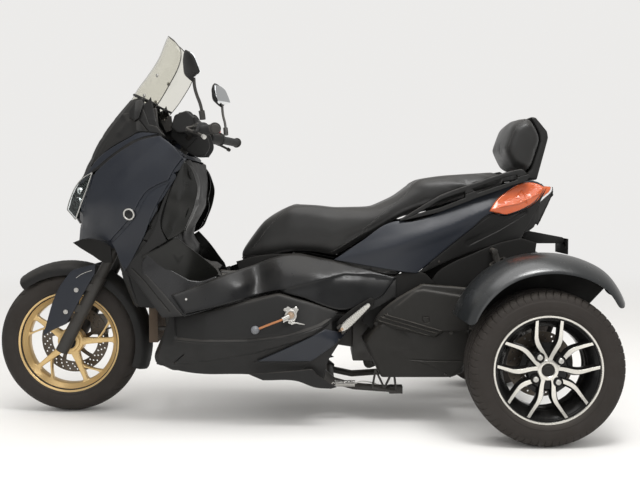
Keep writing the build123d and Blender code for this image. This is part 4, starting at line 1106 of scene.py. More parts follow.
panel("sideCowl", 185, "navyPaint", skin=("side_cowls",), lift=3, slack=0.3, outline=[
    (161, 136, 1), (172, 144), (183, 155), (185.5, 158, 1), (177, 170), (172, 180, 1), (162, 184),
    (150, 191), (143, 200), (138, 209), (134, 215), (120, 230), (107, 242, 1), (92, 239.5), (84, 239),
    (76, 241), (70.5, 243.5, 1), (75, 226), (76.5, 218.5, 1), (82, 205), (88, 190), (94, 172, 1),
    (110, 159), (125, 149), (142, 140)],
    features=[("crease", [(78, 232), (95, 205), (118, 178), (150, 150), (163, 140)], 5, 45)])
panel("blade", 215, "navyPaint", skin=("side_cowls", "lower_cowl"), lift=1, slack=0.3, outline=[
    (171.5, 182, 1), (162, 186), (151, 193), (144.3, 202), (139.5, 210.5), (135.5, 216.5), (121.5, 231.5),
    (108.5, 243.5, 1), (112, 250), (117, 262), (122, 272, 1), (128, 264), (136, 250), (144, 236),
    (153, 215), (163, 196)])
# painted shade: a dark sheet set back in the gap between blade and pillar, standing in for the shade there
panel("wedge", 215, "paintedShadeBlack", skin=("side_cowls", "lower_cowl"), lift=-8, slack=0.3, outline=[
    (171.5, 183, 1), (163.5, 197), (153.5, 216), (144.5, 237), (136.5, 251), (129, 264, 1), (142.5, 247),
    (154.5, 227.5), (160, 207)])
panel("brow", 165, "navyPaint", skin=("upper_cowl", "side_cowls"), lift=2, slack=0.3, outline=[
    (160.5, 134.5, 1), (150, 133), (140, 133), (131, 138), (115, 146), (100, 156), (87, 170), (77, 183),
    (74.5, 187, 1), (84, 180), (93, 170.5), (109, 157.5), (124, 147.5), (141, 138.7)])
panel("surround", 165, "blackPlastic", skin=("upper_cowl",), lift=3, slack=0.3, outline=[
    (96, 146.5, 1), (110, 127), (121, 113, 1), (130, 112, 1), (132, 118), (137, 122, 1), (141, 119, 1),
    (143, 108, 1), (146, 113, 1), (151, 125, 1), (158.5, 127, 1), (168, 137.5, 1), (160.5, 134),
    (150, 132.5), (140, 132.5), (131, 137.5), (115, 145.5), (100, 155.5), (88, 166, 1)],
    features=[
        ("crease", [(121, 113), (128, 121), (120, 133)], 5, 16),
        ("crease", [(137, 122), (139, 131)], 5, 14), ("groove", [(141, 121), (150, 132)], 4, 4)])
panel("screenBlock", 150, "blackPlastic", wall=14, outline=[
    (136.5, 100.8, 1), (143.5, 100, 1), (144.8, 106, 1), (141.2, 119, 1), (137, 122, 1), (131, 117.5, 1),
    (130, 111.5, 1)],
    pins=((137, 101, 146), (144, 101, 150), (137, 121, 172), (130, 112, 150), (137, 111, 164)),
    features=[("crease", [(137, 101), (137, 121)], 5, 10)])
panel("screenFootBlock", 158, "frameBlack", wall=12, outline=[
    (145.8, 113.5, 1), (150, 110), (157.3, 108.3, 1), (158.8, 123, 1), (151.5, 126, 1)],
    pins=((146, 113, 152), (157, 108, 158), (158.8, 123, 166), (151.5, 126, 164)))
panel("pillar", 245, "blackPlastic", outline=[
    (171, 182.5, 1), (161, 206.7), (155.3, 227.5), (143.3, 247.5), (130.3, 263, 1), (130.3, 272.5, 1),
    (165.5, 315, 1), (186, 313.6, 1), (144.5, 270.5, 1), (144, 262), (147.5, 255), (168, 240.5, 1),
    (161.8, 226.7), (168.5, 196), (177.5, 172.5, 1)],
    pins=[
        (171, 182.5, 240), (177.5, 172.5, 238), (161, 207, 254), (155, 227, 262), (168, 240, 268),
        (143, 247, 266), (130, 263, 266), (130, 272, 270), (144, 262, 268), (148, 292, 300),
        (165.5, 315, 328), (186, 313.6, 322), (166, 292, 296)],
    features=[("groove", [(133, 268), (146, 280), (160, 296), (172, 309)], 3, 3)])
panel("pod", 250, "podBlack", outline=[
    (184.7, 160, 1), (191, 168), (195, 178), (197.3, 187), (195.3, 202), (188.7, 220), (183, 231),
    (178, 235), (169, 239.5, 1), (162.5, 227), (164.3, 214), (169.5, 196), (178.5, 173.3)],
    pins=[
        (184.7, 160, 240), (194, 176, 240), (197, 190, 244), (190, 216, 256), (163, 227, 268),
        (178, 200, 276), (169, 239, 270), (182, 231, 266), (178.5, 173, 254), (168, 205, 266)],
    features=[("crease", [(184, 163), (184, 190), (181, 212), (172, 237)], 7, 30)])
panel("podInner", 130, "podBlack", outline=[
    (192, 164, 1), (196, 168), (199, 174), (201, 184), (200, 193), (198.5, 200, 1), (199.5, 205, 1),
    (196, 215), (188, 230, 1), (183, 231, 1), (189.5, 220), (196, 202), (198, 187), (195.8, 178)],
    pins=[
        (192, 164, 236), (198, 172, 190), (201, 184, 150), (198.5, 200, 150), (199.5, 205, 150),
        (188, 230, 190), (183, 231, 240), (196, 202, 236), (197.5, 187, 236)],
    features=[("groove", [(197.5, 172), (199.5, 182), (199, 194), (197.5, 206), (192, 220)], 3, 3)])
panel("sideCover", 278, "coverBlack", skin=("side_covers",), lift=0, slack=0.2, roll=9, outline=[
    (171.3, 294.5, 1), (196.3, 285.7), (222.7, 275.5), (252, 266.7), (270, 260), (283, 256.5), (296, 256),
    (319, 259.5), (345, 264.5), (370, 270.5), (399.5, 279, 1), (391, 290), (384, 298), (376.5, 301.6),
    (352.8, 310.5), (346.8, 311.2), (300, 298), (284.3, 294.5, 1), (278.4, 291.6, 1), (259.3, 296),
    (222.7, 304.8), (186, 312.9, 1)],
    lastPins=[
        (171.3, 294.5, 300), (196, 286, 276), (222.7, 275.5, 262), (186, 312.9, 322), (222, 304.8, 306),
        (204, 296, 296), (245, 285, 284)],
    features=[
        ("ledge", [(258, 296), (285.7, 289.4), (320, 281), (345, 275.5), (372, 277), (402, 282)], 6, 5),
        ("crease", [(285.7, 290), (330, 280)], 3, 14)])
panel("footboard", 335, "blackPlastic", skin=("footboards",), lift=0, slack=0.1, roll=6, wall=14, outline=[
    (165.5, 315, 1), (181.6, 315.8), (186, 315), (222.7, 307.7), (259.3, 300.4), (270, 299),
    (281.3, 299.5), (296, 303.3), (332.7, 316.5), (346.8, 318.5, 1), (352, 329), (347, 336.4, 1),
    (325, 330, 1), (296, 344.4), (252, 366, 1), (311, 365.5, 1), (306, 372), (266.7, 383.3, 1),
    (252, 381.8), (178.7, 379.6), (147.9, 372.3, 1)],
    features=[
        (
            "dish",
            [
                (168, 300), (260, 284), (300, 288), (338, 314), (334, 320), (322, 327), (300, 334),
                (281.3, 338.5), (244.7, 343), (200, 343.6), (171, 342.5)
            ],
            26, 20
        ),
        (
            "rib", [(171, 344.5), (200, 345.6), (244.7, 345), (281.3, 340.5), (300, 336), (322, 329)], 1.5,
            3
        ),
        ("groove", [(169.7, 367.6), (179.6, 358.8)], 6, 2.5),
        ("ledge", [(330, 327), (300, 342), (252, 356.5), (210, 364.5), (166, 371.5)], -6, 3)])
panel("flank", 335, "navyPaint", skin=("footboards",), lift=1, slack=0.1, outline=[
    (325.5, 331, 1), (348, 337.6, 1), (311, 365, 1), (255, 365.5, 1), (296, 345.6)])
panel("belly", 300, "blackPlastic", outline=[
    (247, 376, 1), (312, 371, 1), (318, 378, 1), (337, 390, 1), (331, 391.5, 1), (316, 390), (297, 383),
    (262, 382, 1)],
    pins=((250, 380, 296), (337, 390, 285), (312, 371, 290), (297, 383, 300), (270, 378, 300)))
panel("tunnelSide", 124, "podBlack", outline=[
    (149.5, 253, 1), (170, 243), (183, 235, 1), (199, 250), (216, 268, 1), (218, 273), (205, 280),
    (196, 281.5), (189.5, 280, 1), (168, 266)],
    pins=[
        (149.5, 253, 272), (168, 266, 270), (190, 280, 246), (190, 233, 268), (200, 256, 214),
        (223, 268, 128), (205, 281, 170), (215, 258, 150)],
    features=[("dish", [(178, 250), (191, 250), (184, 262)], 3, 8)])
panel("step", 225, "glossBlack", outline=[
    (144, 262, 1), (149, 253, 1), (168, 266), (190, 279, 1), (200, 280.5), (216, 276, 1), (218, 306, 1),
    (187, 314, 1), (168, 297), (157, 284), (144.5, 272)],
    pins=[
        (144, 262, 273), (149, 254, 272), (190, 279, 262), (170, 295, 292), (144, 272, 276),
        (200, 281, 250), (214, 276, 232), (216, 306, 276), (187, 314, 306)])
panel("tailTop", 200, "navyPaint", skin=("tail_panels", "tail_lamps"), lift=0, slack=0.5, outline=[
    (334, 260, 1), (362, 241), (390, 222.8), (397, 221), (410, 221.3), (425, 218), (441, 211.5),
    (480, 196.4), (508, 185.5), (520, 181.5), (530, 180.3), (541, 181.2), (548, 185, 1), (549, 187.5, 1),
    (543.5, 196), (532, 206), (517, 212.5), (507, 215), (493, 213), (470, 230), (440, 254.5),
    (417.5, 273.5, 1), (405, 272), (370, 266)],
    features=[("crease", [(340, 258), (400, 244), (450, 226), (492, 207)], 6, 40)])
panel("tailLow", 195, "blackPlastic", skin=("tail_panels",), lift=-1, slack=0.5, outline=[
    (493, 213.5, 1), (507, 215.5), (517, 213), (532, 206.5), (544, 196), (549.3, 187.5, 1), (541, 207),
    (533, 224), (529, 230, 1), (526, 238), (521, 242.5, 1), (500, 245.5), (480, 250), (460, 257),
    (440, 265.5), (421, 274.5, 1), (418, 273.5, 1), (440.5, 255), (470.5, 230.5)],
    features=[("groove", [(470, 243), (500, 228), (527, 212)], 6, 12)])
panel("lamp", 195, "amberLens", skin=("tail_lamps",), lift=6, slack=0.4, roll=5, outline=[
    (489.5, 211, 1), (493, 205), (500, 197), (510, 190), (520, 184.3), (530, 182), (540, 183),
    (548.8, 187.2, 1), (543, 194.5), (535, 202.5), (525, 208), (512, 213), (507, 214.3), (498, 213)],
    features=[
        ("crease", [(492, 209), (530, 199), (545, 188)], 7, 22),
        ("groove", [(516, 197), (528, 203)], 1.5, 2),
        ("groove", [(516, 197), (524, 190), (528, 203)], 1.5, 2),
        ("rib", [(500, 207), (520, 203), (541, 193)], 2, 3)])
# painted shade: a dark sheet deep inside, ahead of the rear wheel, in the darker black that stands in for
# shade
panel("midGuard", 200, "paintedShadeBlack", mirrored=False, wall=6, outline=[
    (378, 284, 1), (405, 272, 1), (426, 274), (436, 284, 1), (424, 288), (400, 300), (380, 320),
    (372, 330, 1), (362, 322, 1), (368, 305)],
    pins=((378, 284, 196), (426, 274, 190), (372, 330, 200), (400, 296, 200)))
# partly a real dark piece, partly a dark sheet over the opening between tail and fender; its darker black is
# painted shade
panel("innerGuard", 170, "paintedShadeBlack", wall=5, outline=[
    (428, 288, 1), (438, 272), (450, 264), (470, 255), (500, 243), (522, 238, 1), (538, 243, 1),
    (536, 256, 1), (500, 266), (485, 274), (470, 284), (462, 290, 1)],
    pins=((428, 288, 176), (450, 264, 172), (492, 254, 168), (538, 246, 160), (470, 282, 178)))
# painted shade: a dark sheet behind the tail lamp, closing the opening where the inside of the tail lies in
# shade
panel("tailBack", 130, "paintedShadeBlack", wall=5, outline=[
    (500, 198, 1), (516, 188), (530, 184), (541, 184.5), (546.5, 188, 1), (540, 204), (529, 222, 1),
    (505, 234, 1)],
    pins=((500, 196, 140), (548, 187, 96), (531, 224, 112), (505, 236, 140)))
# the underside of the nose, in a darker black that is painted shade
panel("noseUnder", 150, "paintedShadeBlack", wall=4, outline=[
    (72, 242.5, 1), (84, 238.5), (100, 240), (112, 246, 1), (113, 262, 1), (104, 262), (92, 255),
    (80, 248, 1)],
    pins=((72, 242, 150), (112, 246, 176), (113, 262, 168), (92, 250, 162)))
# painted shade: a dark sheet under the seat's edge, in the darker black that stands in for shade
panel("seatSkirt", 150, "paintedShadeBlack", wall=5, outline=[
    (235, 262, 1), (258, 256), (280, 254), (300, 253, 1), (345, 262, 1), (300, 264), (262, 272),
    (240, 276, 1)],
    pins=((235, 262, 120), (300, 255, 158), (345, 264, 176), (240, 275, 130)))
# the recess of the pillion peg, lined with a darker black that is painted shade
panel("pegPocket", 272, "paintedShadeBlack", wall=5, outline=[
    (337, 331, 1), (338, 322), (345, 315), (371, 298, 1), (375, 300, 1), (374, 306), (366, 315),
    (353, 327), (346, 333, 1)],
    pins=((337, 331, 271), (375, 300, 269), (346, 333, 271)))
panel("dashSide", 62, "blackPlastic", body="steering", wall=8, outline=[
    (171, 137, 1), (174, 124), (180, 113, 1), (191, 112), (198, 122), (207, 135), (210, 147),
    (205, 156, 1), (192, 155), (186, 150), (180, 145, 1)],
    pins=((171, 137, 58), (180, 113, 62), (210, 147, 64), (205, 156, 60), (192, 133, 70)),
    features=[
        ("ledge", [(172, 128), (196, 124)], 4, 3), ("groove", [(186, 150), (200, 136), (205, 126)], 3, 3)])
panel("driveCover", 252, "caseBlack", mirrored=False, roll=8, wall=8, outline=[
    (396, 367, 1), (380, 340), (374, 324, 1), (378, 317), (398, 299), (418, 287.5), (424, 284.5, 1),
    (445, 286), (468, 288, 1), (470, 300), (470, 331.6, 1), (470, 352), (462, 372), (452, 380, 1),
    (440, 372), (420, 364.5)],
    pins=[
        (396, 367, 240), (374, 324, 232), (398, 299, 240), (424, 284.5, 240), (470, 288, 250),
        (470, 352, 254), (452, 380, 246), (425, 330, 257)],
    features=[
        ("ledge", [(398, 306), (416, 291.5), (424, 290), (474, 298)], -5, 4),
        ("ledge", [(374, 321), (392, 329), (436, 337), (444, 331.6), (474, 331.2)], 9, 4),
        ("rib", [(385, 315.5), (410, 322), (441, 331)], 5, 3.4),
        ("rib", [(383, 318.5), (408, 325.5), (437, 333.5)], 5, 3.4),
        ("rib", [(380, 322), (406, 329), (431, 336.6)], 5, 3.4),
        ("groove", [(423, 316.6), (429, 317), (430, 322), (425, 323.2), (422.6, 320), (423, 316.6)], 2, 2),
        ("groove", [(384, 350), (400, 360), (430, 362), (462, 362)], 3, 4)])
print("panels ready")


# padded seat and backrest

padFrames = 20


def padCloth(obj, pressure, cap):
    # a short cloth simulation under pressure, its underside held and its reach capped in mm
    count = len(obj.data.vertices)
    start, end = np.empty(count * 3), np.empty(count * 3)
    obj.data.vertices.foreach_get("co", start)
    group = obj.vertex_groups.new(name="held")
    group.add([v.index for v in obj.data.vertices if v.normal.z < -0.55], 1.0, "REPLACE")
    cloth = obj.modifiers.new("padding", "CLOTH")
    cloth.settings.vertex_group_mass = "held"
    cloth.settings.use_pressure = True
    cloth.settings.uniform_pressure_force = pressure
    cloth.settings.effector_weights.gravity = 0
    cloth.settings.quality = 5
    cloth.point_cache.frame_start = 1
    cloth.point_cache.frame_end = padFrames
    for frameNumber in range(1, padFrames + 1):
        scene.frame_set(frameNumber)
    shape = bpy.data.meshes.new_from_object(obj.evaluated_get(bpy.context.evaluated_depsgraph_get()))
    obj.modifiers.clear()
    shape.vertices.foreach_get("co", end)
    start = start.reshape(-1, 3)
    move = end.reshape(-1, 3) - start
    move *= np.minimum(1, cap * mm / np.maximum(np.linalg.norm(move, axis=1, keepdims=True), 1e-9))
    obj.data.vertices.foreach_set("co", (start + move).ravel())
    obj.data.update()
    obj.vertex_groups.clear()
    scene.frame_set(1)


def padPiece(node, name, body, voxel, shrink, pressure, cap, smoothing, finer):
    obj = cadCopy(name, node)
    addStep(obj, "REMESH", mode="VOXEL", voxel_size=voxel * mm)
    meltMesh(bakeModifiers(obj), smoothing, shrink)
    padCloth(obj, pressure, cap)
    addStep(obj, "SUBSURF", levels=finer)
    bakeModifiers(obj)
    obj.data.shade_smooth()
    return dress(obj, "leatherette", body, node)


def onSurface(obj, points, lift=0.0, step=3.0):
    # a smooth line through rough (x, y, z) millimetre points, laid on a mesh
    tree = surfaceTree(obj)
    rows = np.array(points, float)
    length = np.r_[0, np.cumsum(np.linalg.norm(np.diff(rows, axis=0), axis=1))]
    fine = alongTable(np.c_[length, rows], np.arange(0, length[-1], step))[:, 1:]
    out = []
    for p in fine:
        place, normal, index, far = tree.find_nearest(Vector(p) * mm)
        if place is not None:
            out.append(place + normal * lift * mm)
    return out


def seam(obj, name, points, body, gap=4.5, both=True):
    # a sewn seam: a thin fold with a row of stitches on each side
    fold = onSurface(obj, points, 0.1, 6.0)
    rodPiece(name + "Fold", "leatherette", body, 0.0011, 8, fold, 3)
    rows = np.array(points, float)
    for k, shift in enumerate((-gap, gap) if both else (gap,)):
        moved = rows + np.array([shift, 0, 0])
        stitchRow(name + "Stitch" + str(k), onSurface(obj, moved, 0.25), "thread", body, seed=3 + k)


def mirrorLine(points):
    # left half of a line, ending in the middle plane, and its right half
    return points + [(x, -y, z) for x, y, z in points[::-1][1:]]


seat = padPiece("seat", "seatPad", "seat", 9.0, 0.5, 3.0, 8.0, 16, 0)
seam(seat, "seatRear", mirrorLine([(150, -140, 628), (223, -165, 668), (316, -168, 753), (390, -158, 846),
    (440, -120, 885), (470, -60, 905), (480, 0, 912)]), "seat")
seam(seat, "seatFront", mirrorLine([(-172, -120, 640), (-130, -140, 708), (-75, -130, 768), (0, -80, 800),
    (22, -40, 806), (28, 0, 808)]), "seat", both=False)
pad = padPiece("backrest_pad", "backrestCushion", "chassis", 6.0, 0.0, 2.5, 7.0, 24, 1)
seam(pad, "backrestSeam", [(812, -128, 1020), (838, -132, 1100), (880, -122, 1136), (880, 0, 1142),
    (880, 122, 1136), (838, 132, 1100), (812, 128, 1020)], "chassis", both=False)
print("padding ready")


# fenders

rearFender = {
    "from": 41.0, "to": 150.0, "corner": 34.0, "liner": (244, 367, 343, 346),
    "section": [
        (366, 341), (374, 346), (382, 360), (385.5, 380), (385.6, 410), (382.5, 440), (375, 472),
        (363, 502), (350, 523), (339, 535), (331, 541), (326, 542)
    ],
    # how the arch leaves a true circle: turn in degrees, share of the radius
    "arch": [
        (36, 0.9), (46, 0.955), (57, 1.0), (68, 1.005), (80, 1.0), (92, 0.995), (112, 0.985), (126, 0.96),
        (138, 0.93), (148, 0.9), (156, 0.87)
    ],
}
frontFlag = {
    "outline": [
        (-739, 587, 1), (-800, 571), (-828, 561), (-852, 535), (-872, 508), (-944, 313, 1), (-900, 337),
        (-853, 358, 1), (-742, 551, 1)
    ],
}


def fenderShape(name, table, centre, side, wall=4.0, steps=72):
    section = smoothLine(table["section"], 9.0)
    length = np.r_[0, np.cumsum(np.hypot(*np.diff(section, axis=0).T))]
    rings = []
    half = table["section"][4][0] * mm
    total = math.radians(table["to"] - table["from"])
    for i in range(steps + 1):
        t = i / steps
        t = 0.5 - 0.5 * math.cos(math.pi * t) if i not in (0, steps) else t
        angle = math.radians(table["from"]) + total * t
        toEnd = min(t, 1 - t) * total * half * 1000
        corner = table["corner"]
        trim = corner - math.sqrt(max(0, corner ** 2 - (corner - min(toEnd, corner)) ** 2))
        at = trim + (length[-1] - 2 * trim) * length / length[-1]
        r, y = np.interp(at, length, section[:, 0]), np.interp(at, length, section[:, 1])
        r = r * alongTable(table["arch"], [math.degrees(angle)])[0][1]
        run = np.gradient(np.c_[r, y], axis=0)
        run /= np.hypot(run[:, 0], run[:, 1])[:, None]
        inner = np.c_[r, y] - wall * np.c_[run[:, 1], -run[:, 0]]
        ring = np.r_[np.c_[r, y], inner[::-1]]
        rings.append([aroundAxle((centre[0], 0, centre[2]), p, side * q, angle) for p, q in ring])
    return solidRings(name, rings, 50)


def fenderLiner(table, centre, side):
    # the wall at the inner side of the arch, in a darker black that is painted shade
    low, high, near, far = table["liner"]
    rings = []
    for turn in np.linspace(table["from"] + 6, table["to"] - 3, 60):
        share = alongTable(table["arch"], [turn])[0][1]
        section = ((low, near), (high * share, near), (high * share, far), (low, far))
        rings.append([aroundAxle((centre[0], 0, centre[2]), r, side * y, math.radians(turn)) for r,
                      y in section])
    return solidRings("liner", rings, 40)


liners = [fenderLiner(rearFender, rearAxle[side], -1 if side == "left" else 1) for side in rearAxle]
dress(mergeInto("rearFenderLiners", liners), "paintedShadeBlack", "chassis")
fenders = [fenderShape("rearFender" + side, rearFender, rearAxle[side],
                       -1 if side == "left" else 1) for side in rearAxle]
dress(mergeInto("rearFenderSkins", fenders), "fenderPaint", "chassis", "rear_fenders")
flags = heightPanel("frontFlags", frontFlag["outline"], "navyPaint", "steering",
                    pins=[(-739, 587, 121), (-944, 313, 121), (-853, 358, 121), (-800, 500, 122),
                          (-828, 561, 119)],
                    roll=2.0, wall=3.0, stands=("fender_flags",),
                    features=[("crease", [(-812, 545), (-752, 575)], 1.5, 5)])
trim = [sweepTube("flagTrim", [(-0.812, s * 0.1232, 0.534), (-0.790, s * 0.1234, 0.549),
    (-0.752, s * 0.1232, 0.563)], 0.0012, 8) for s in (-1, 1)]
dress(mergeInto("frontFlagTrim", trim), "zincSteel", "steering")
print("fenders ready")


# windscreen

screen = {
    # height row: middle x, middle z, edge x, edge z, half width
    "rows": [
        (0, -626, 1205, -520, 1150, 138), (1, -597, 1254, -478, 1202, 154),
        (2, -563, 1298, -446, 1252, 164), (3, -537, 1334, -418, 1300, 168),
        (4, -512, 1374, -404, 1338, 166), (5, -493, 1419, -402, 1366, 156),
        (6, -482, 1446, -410, 1392, 132), (7, -475, 1459, -436, 1426, 96)
    ],
}


def buildScreen():
    rows = alongTable(screen["rows"], np.linspace(0, 7, 36))
    across = np.linspace(-1, 1, 33)
    bow = np.abs(across) ** 2.1
    outer = np.array([np.c_[cx + (ex - cx) * bow, half * across, cz + (ez - cz) * bow] for _, cx, cz, ex,
                      ez, half in rows])
    normal = np.cross(np.gradient(outer, axis=0), np.gradient(outer, axis=1))
    normal /= np.linalg.norm(normal, axis=2)[:, :, None]
    if normal[10, 16, 0] > 0:
        normal = -normal
    inner = outer - normal * 3.2
    rings = [np.r_[o, i[::-1]] * mm for o, i in zip(outer, inner)]
    dress(solidRings("screenSheet", rings, 40), "screenGlass", "chassis", "windscreen")
    border = np.array([*outer[:, 0], *outer[-1, 1:], *outer[::-1, -1][1:]]) * mm
    rodPiece("screenEdge", "smokeEdge", "chassis", 0.0017, 8, [tuple(p) for p in border[::3]], 3)
    strap = outer[2:5, ::2].mean(axis=0) * mm
    rodPiece("screenFoot", "blackPlastic", "chassis", 0.005, 8, [tuple(p) for p in strap], 3)
    spots = []
    for u in (5, 27):
        for row in (4, 12):
            p, n = outer[row, u], normal[row, u]
            spots.append((*p, *n, 1.0))
    putAt("screenBolts", boltHeads["flange"], spots, "zincSteel", "chassis")


buildScreen()
print("windscreen ready")


# lamps in the nose, the plain badge and the bolts of the bodywork

def skinPlace(obj, px, pz, depth):
    # where a line of sight level with the ground meets a piece, from the left
    x, z = toSide([(px, pz)], depth)[0]
    tree = surfaceTree(obj)
    place, normal, index, far = tree.ray_cast(Vector((x * mm, -2, z * mm)), Vector((0, 1, 0)))
    return place, normal


def onPanel(name, spots, head, finish, body="chassis", both=True, size=1.0):
    # bolt heads on a panel at picture points
    obj = bpy.data.objects[name + "Panel"]
    rows = []
    for px, pz in spots:
        place, normal = skinPlace(obj, px, pz, panelDepth[name])
        if place is None:
            continue
        place = place * 1000
        rows.append((*place, *normal, size))
        if both:
            rows.append((place.x, -place.y, place.z, normal.x, -normal.y, normal.z, size))
    if rows:
        putAt(name + "Bolts", boltHeads[head], rows, finish, body)


onPanel("sideCover", [(186.7, 298.6)], "small", "zincSteel")
onPanel("driveCover", [(415, 369), (452, 333), (380, 331), (447, 376)], "flange", "frameBlack", both=False)
onPanel("footboard", [(305, 379)], "small", "zincSteel")
onPanel("tailLow", [(440, 262)], "small", "frameBlack")
putAt("flagBolts", boltHeads["flange"], [(-812.7, s * 123, 488, 0, s, 0, 1.15) for s in (-1, 1)] + [(-854,
    s * 123, 405, 0, s, 0, 1.15) for s in (-1, 1)], "zincSteel", "steering")

badgeSpot, badgeNormal = skinPlace(bpy.data.objects["sideCowlPanel"], 129, 214, 225)
badgeRows = {
    "zincSteel": [(16.2, -2.2), (17.4, -3.4), (20.6, -3.4), (22.2, -2), (22.4, 2), (16.2, 2)],
    "coverBlack": [(0, -2.4), (5, -2.2), (6, -1.6), (12, -1.4), (16.2, -1.6), (16.2, 1), (0, 1)],
}
for finish, rows in badgeRows.items():
    badges = []
    for side in (-1, 1):
        place, face = ((v.x, -side * v.y, v.z) for v in (badgeSpot, badgeNormal))
        badges.append(turnInto(lathe("badge", rows, steps=64), place, face))
    dress(mergeInto(finish + "Badge", badges), finish, "chassis")

headlamp = {
    "outline": [
        (93.5, 173, 1), (84, 178), (76, 186), (70, 196), (66.4, 205), (65.4, 209.5, 1), (75.6, 219, 1),
        (82, 204), (88.3, 189)
    ],
    "pins": [
        (93.5, 174, 158), (84, 179, 150), (76, 187, 138), (70, 197, 124), (65.4, 209.5, 118),
        (75.6, 219, 146), (82, 204, 158), (88.3, 189, 162)
    ],
    # picture point, radius, distance from the middle plane
    "eyes": [((78.5, 201), 15, 118), ((80, 190.5), 11, 126)],
}


def buildHeadlamp():
    depth = 140
    outline = toSide(headlamp["outline"], depth)
    pins = [(*toSide([(x, z)], depth)[0], y) for x, z, y in headlamp["pins"]]
    deep = [(x, z, y - 22) for x, z, y in pins]
    corners = [p[:2] for p in outline]
    heightPanel("headlampBowl", outline, "lampBowl", pins=deep, roll=2, wall=10, stands=("headlights",),
                features=[("rib", [corners[0], corners[3]], 3, 5),
                          ("groove", [corners[1], corners[4]], 4, 6)])
    heightPanel("headlampGlass", outline, "clearLens", pins=pins, roll=1.5, wall=2.5)
    table = np.array(pins)
    loop = np.array(toSide([tuple(p) for p in smoothLine(headlamp["outline"], 2.0, True)], depth))
    depths = thinPlate(table[:, :2], table[:, 2], loop, 1e-4)
    rims, bowls, lenses = [], [], []
    for s in (-1, 1):
        line = [(x * mm, s * (d - 4) * mm, z * mm) for (x, z), d in zip(loop, depths)]
        rims.append(sweepTube("rim", line, 0.0026, 8, 2, True))
        for spot, r, back in headlamp["eyes"]:
            x, z = toSide([spot], depth)[0]
            place, facing = (x * mm, s * back * mm, z * mm), (-0.75, s * 0.62, -0.1)
            bowl = [(r, -6), (r + 1.5, -7), (r + 2.5, -5), (r + 2, 6), (r * 0.4, 12), (r * 0.35, 9),
                    (r * 0.8, 3)]
            eye = [(0, -4), (r * 0.5, -3), (r * 0.75, 0), (r * 0.75, 3), (0, 3)]
            bowls.append(turnInto(lathe("bowl", bowl, steps=40), place, facing))
            lenses.append(turnInto(lathe("eye", eye, steps=32, sharp=50), place, facing))
    dress(mergeInto("headlampRims", rims), "zincSteel", "chassis")
    dress(mergeInto("headlampBowls", bowls), "chrome", "chassis")
    dress(mergeInto("headlampEyes", lenses), "lampGlass", "chassis")


buildHeadlamp()
print("lamps ready")


# mirrors

mirror = {
    # height, foremost and rearmost point in the side view, half width
    "head": [
        (1.2335, -0.322, -0.314, 0.01), (1.244, -0.335, -0.305, 0.026), (1.251, -0.342, -0.294, 0.04),
        (1.256, -0.347, -0.279, 0.05), (1.264, -0.351, -0.28, 0.055), (1.276, -0.353, -0.284, 0.058),
        (1.29, -0.354, -0.29, 0.058), (1.303, -0.355, -0.296, 0.056), (1.316, -0.353, -0.305, 0.05),
        (1.328, -0.35, -0.322, 0.036), (1.3355, -0.345, -0.335, 0.016)
    ],
    "stem": [
        (-0.297, 0.352, 1.13), (-0.302, 0.366, 1.16), (-0.311, 0.385, 1.19), (-0.316, 0.398, 1.215),
        (-0.318, 0.402, 1.245)
    ],
    "boot": [(-0.296, 0.35, 1.108), (-0.297, 0.353, 1.122), (-0.299, 0.358, 1.138)], "width": 0.404,
}


def onSide(points, s):
    # points of the right side, or their mirror images on the left
    return [(x, s * y, z) for x, y, z in points]


def buildMirrors():
    shells, faces, stems = [], [], []
    width = mirror["width"]
    for s in (-1, 1):
        rings, plate = [], []
        for z, front, back, wide in alongTable(mirror["head"],
            np.linspace(mirror["head"][0][0], mirror["head"][-1][0], 26)):
            half = max(0.002, (back - front) / 2)
            middle = (front + back) / 2 - 0.004
            ring = []
            for a in (math.tau * k / 32 for k in range(32)):
                deep = math.sin(a) * half * (0.72 if math.sin(a) > 0 else 0.16)
                ring.append((middle + 0.72 * half * math.cos(a) - deep,
                    s * (width + wide * math.cos(a) + deep * 0.3), z))
            rings.append(ring)
            sheet = [(0.0, u) for u in (-1, -0.5, 0, 0.5, 1)] + [(0.0025, u) for u in (1, 0.5, 0, -0.5, -1)]
            plate.append([(middle + 0.62 * half * u + 0.16 * half + lift, s * (width + 0.86 * wide * u),
                z) for lift, u in sheet])
        shells.append(solidRings("shell", rings, 60))
        faces.append(solidRings("glass", plate[3:-2], 40))
        stems.append(sweepTube("stem", onSide(mirror["stem"], s), 0.0056, 12))
        stems.append(sweepTube("boot", onSide(mirror["boot"], s), 0.0105, 16))
    dress(mergeInto("mirrorShells", shells), "blackPlastic", "steering", "mirrors")
    dress(mergeInto("mirrorFaces", faces), "mirrorFace", "steering")
    dress(mergeInto("mirrorStems", stems), "frameBlack", "steering")


buildMirrors()


# handlebar: levers, switches, grip ends

controls = {
    "lever": [
        (-0.352, 0.232, 1.092), (-0.364, 0.262, 1.086), (-0.352, 0.3, 1.076), (-0.318, 0.345, 1.062),
        (-0.29, 0.378, 1.048)
    ],
    "knob": [(-0.292, 0.376, 1.049), (-0.288, 0.381, 1.0465), (-0.285, 0.385, 1.0445)],
    "gripEnd": [
        (0, -8), (8, -8), (14.5, -6), (15.5, -2), (15.5, 4), (20.5, 5), (21.5, 8), (20.5, 11), (0, 11)
    ],
    "keys": [(0.222, 1.088), (0.238, 1.094), (0.226, 1.102)],
    "rocker": [(-0.318, 0.216, 1.112), (-0.314, 0.224, 1.113), (-0.31, 0.232, 1.112)],
}


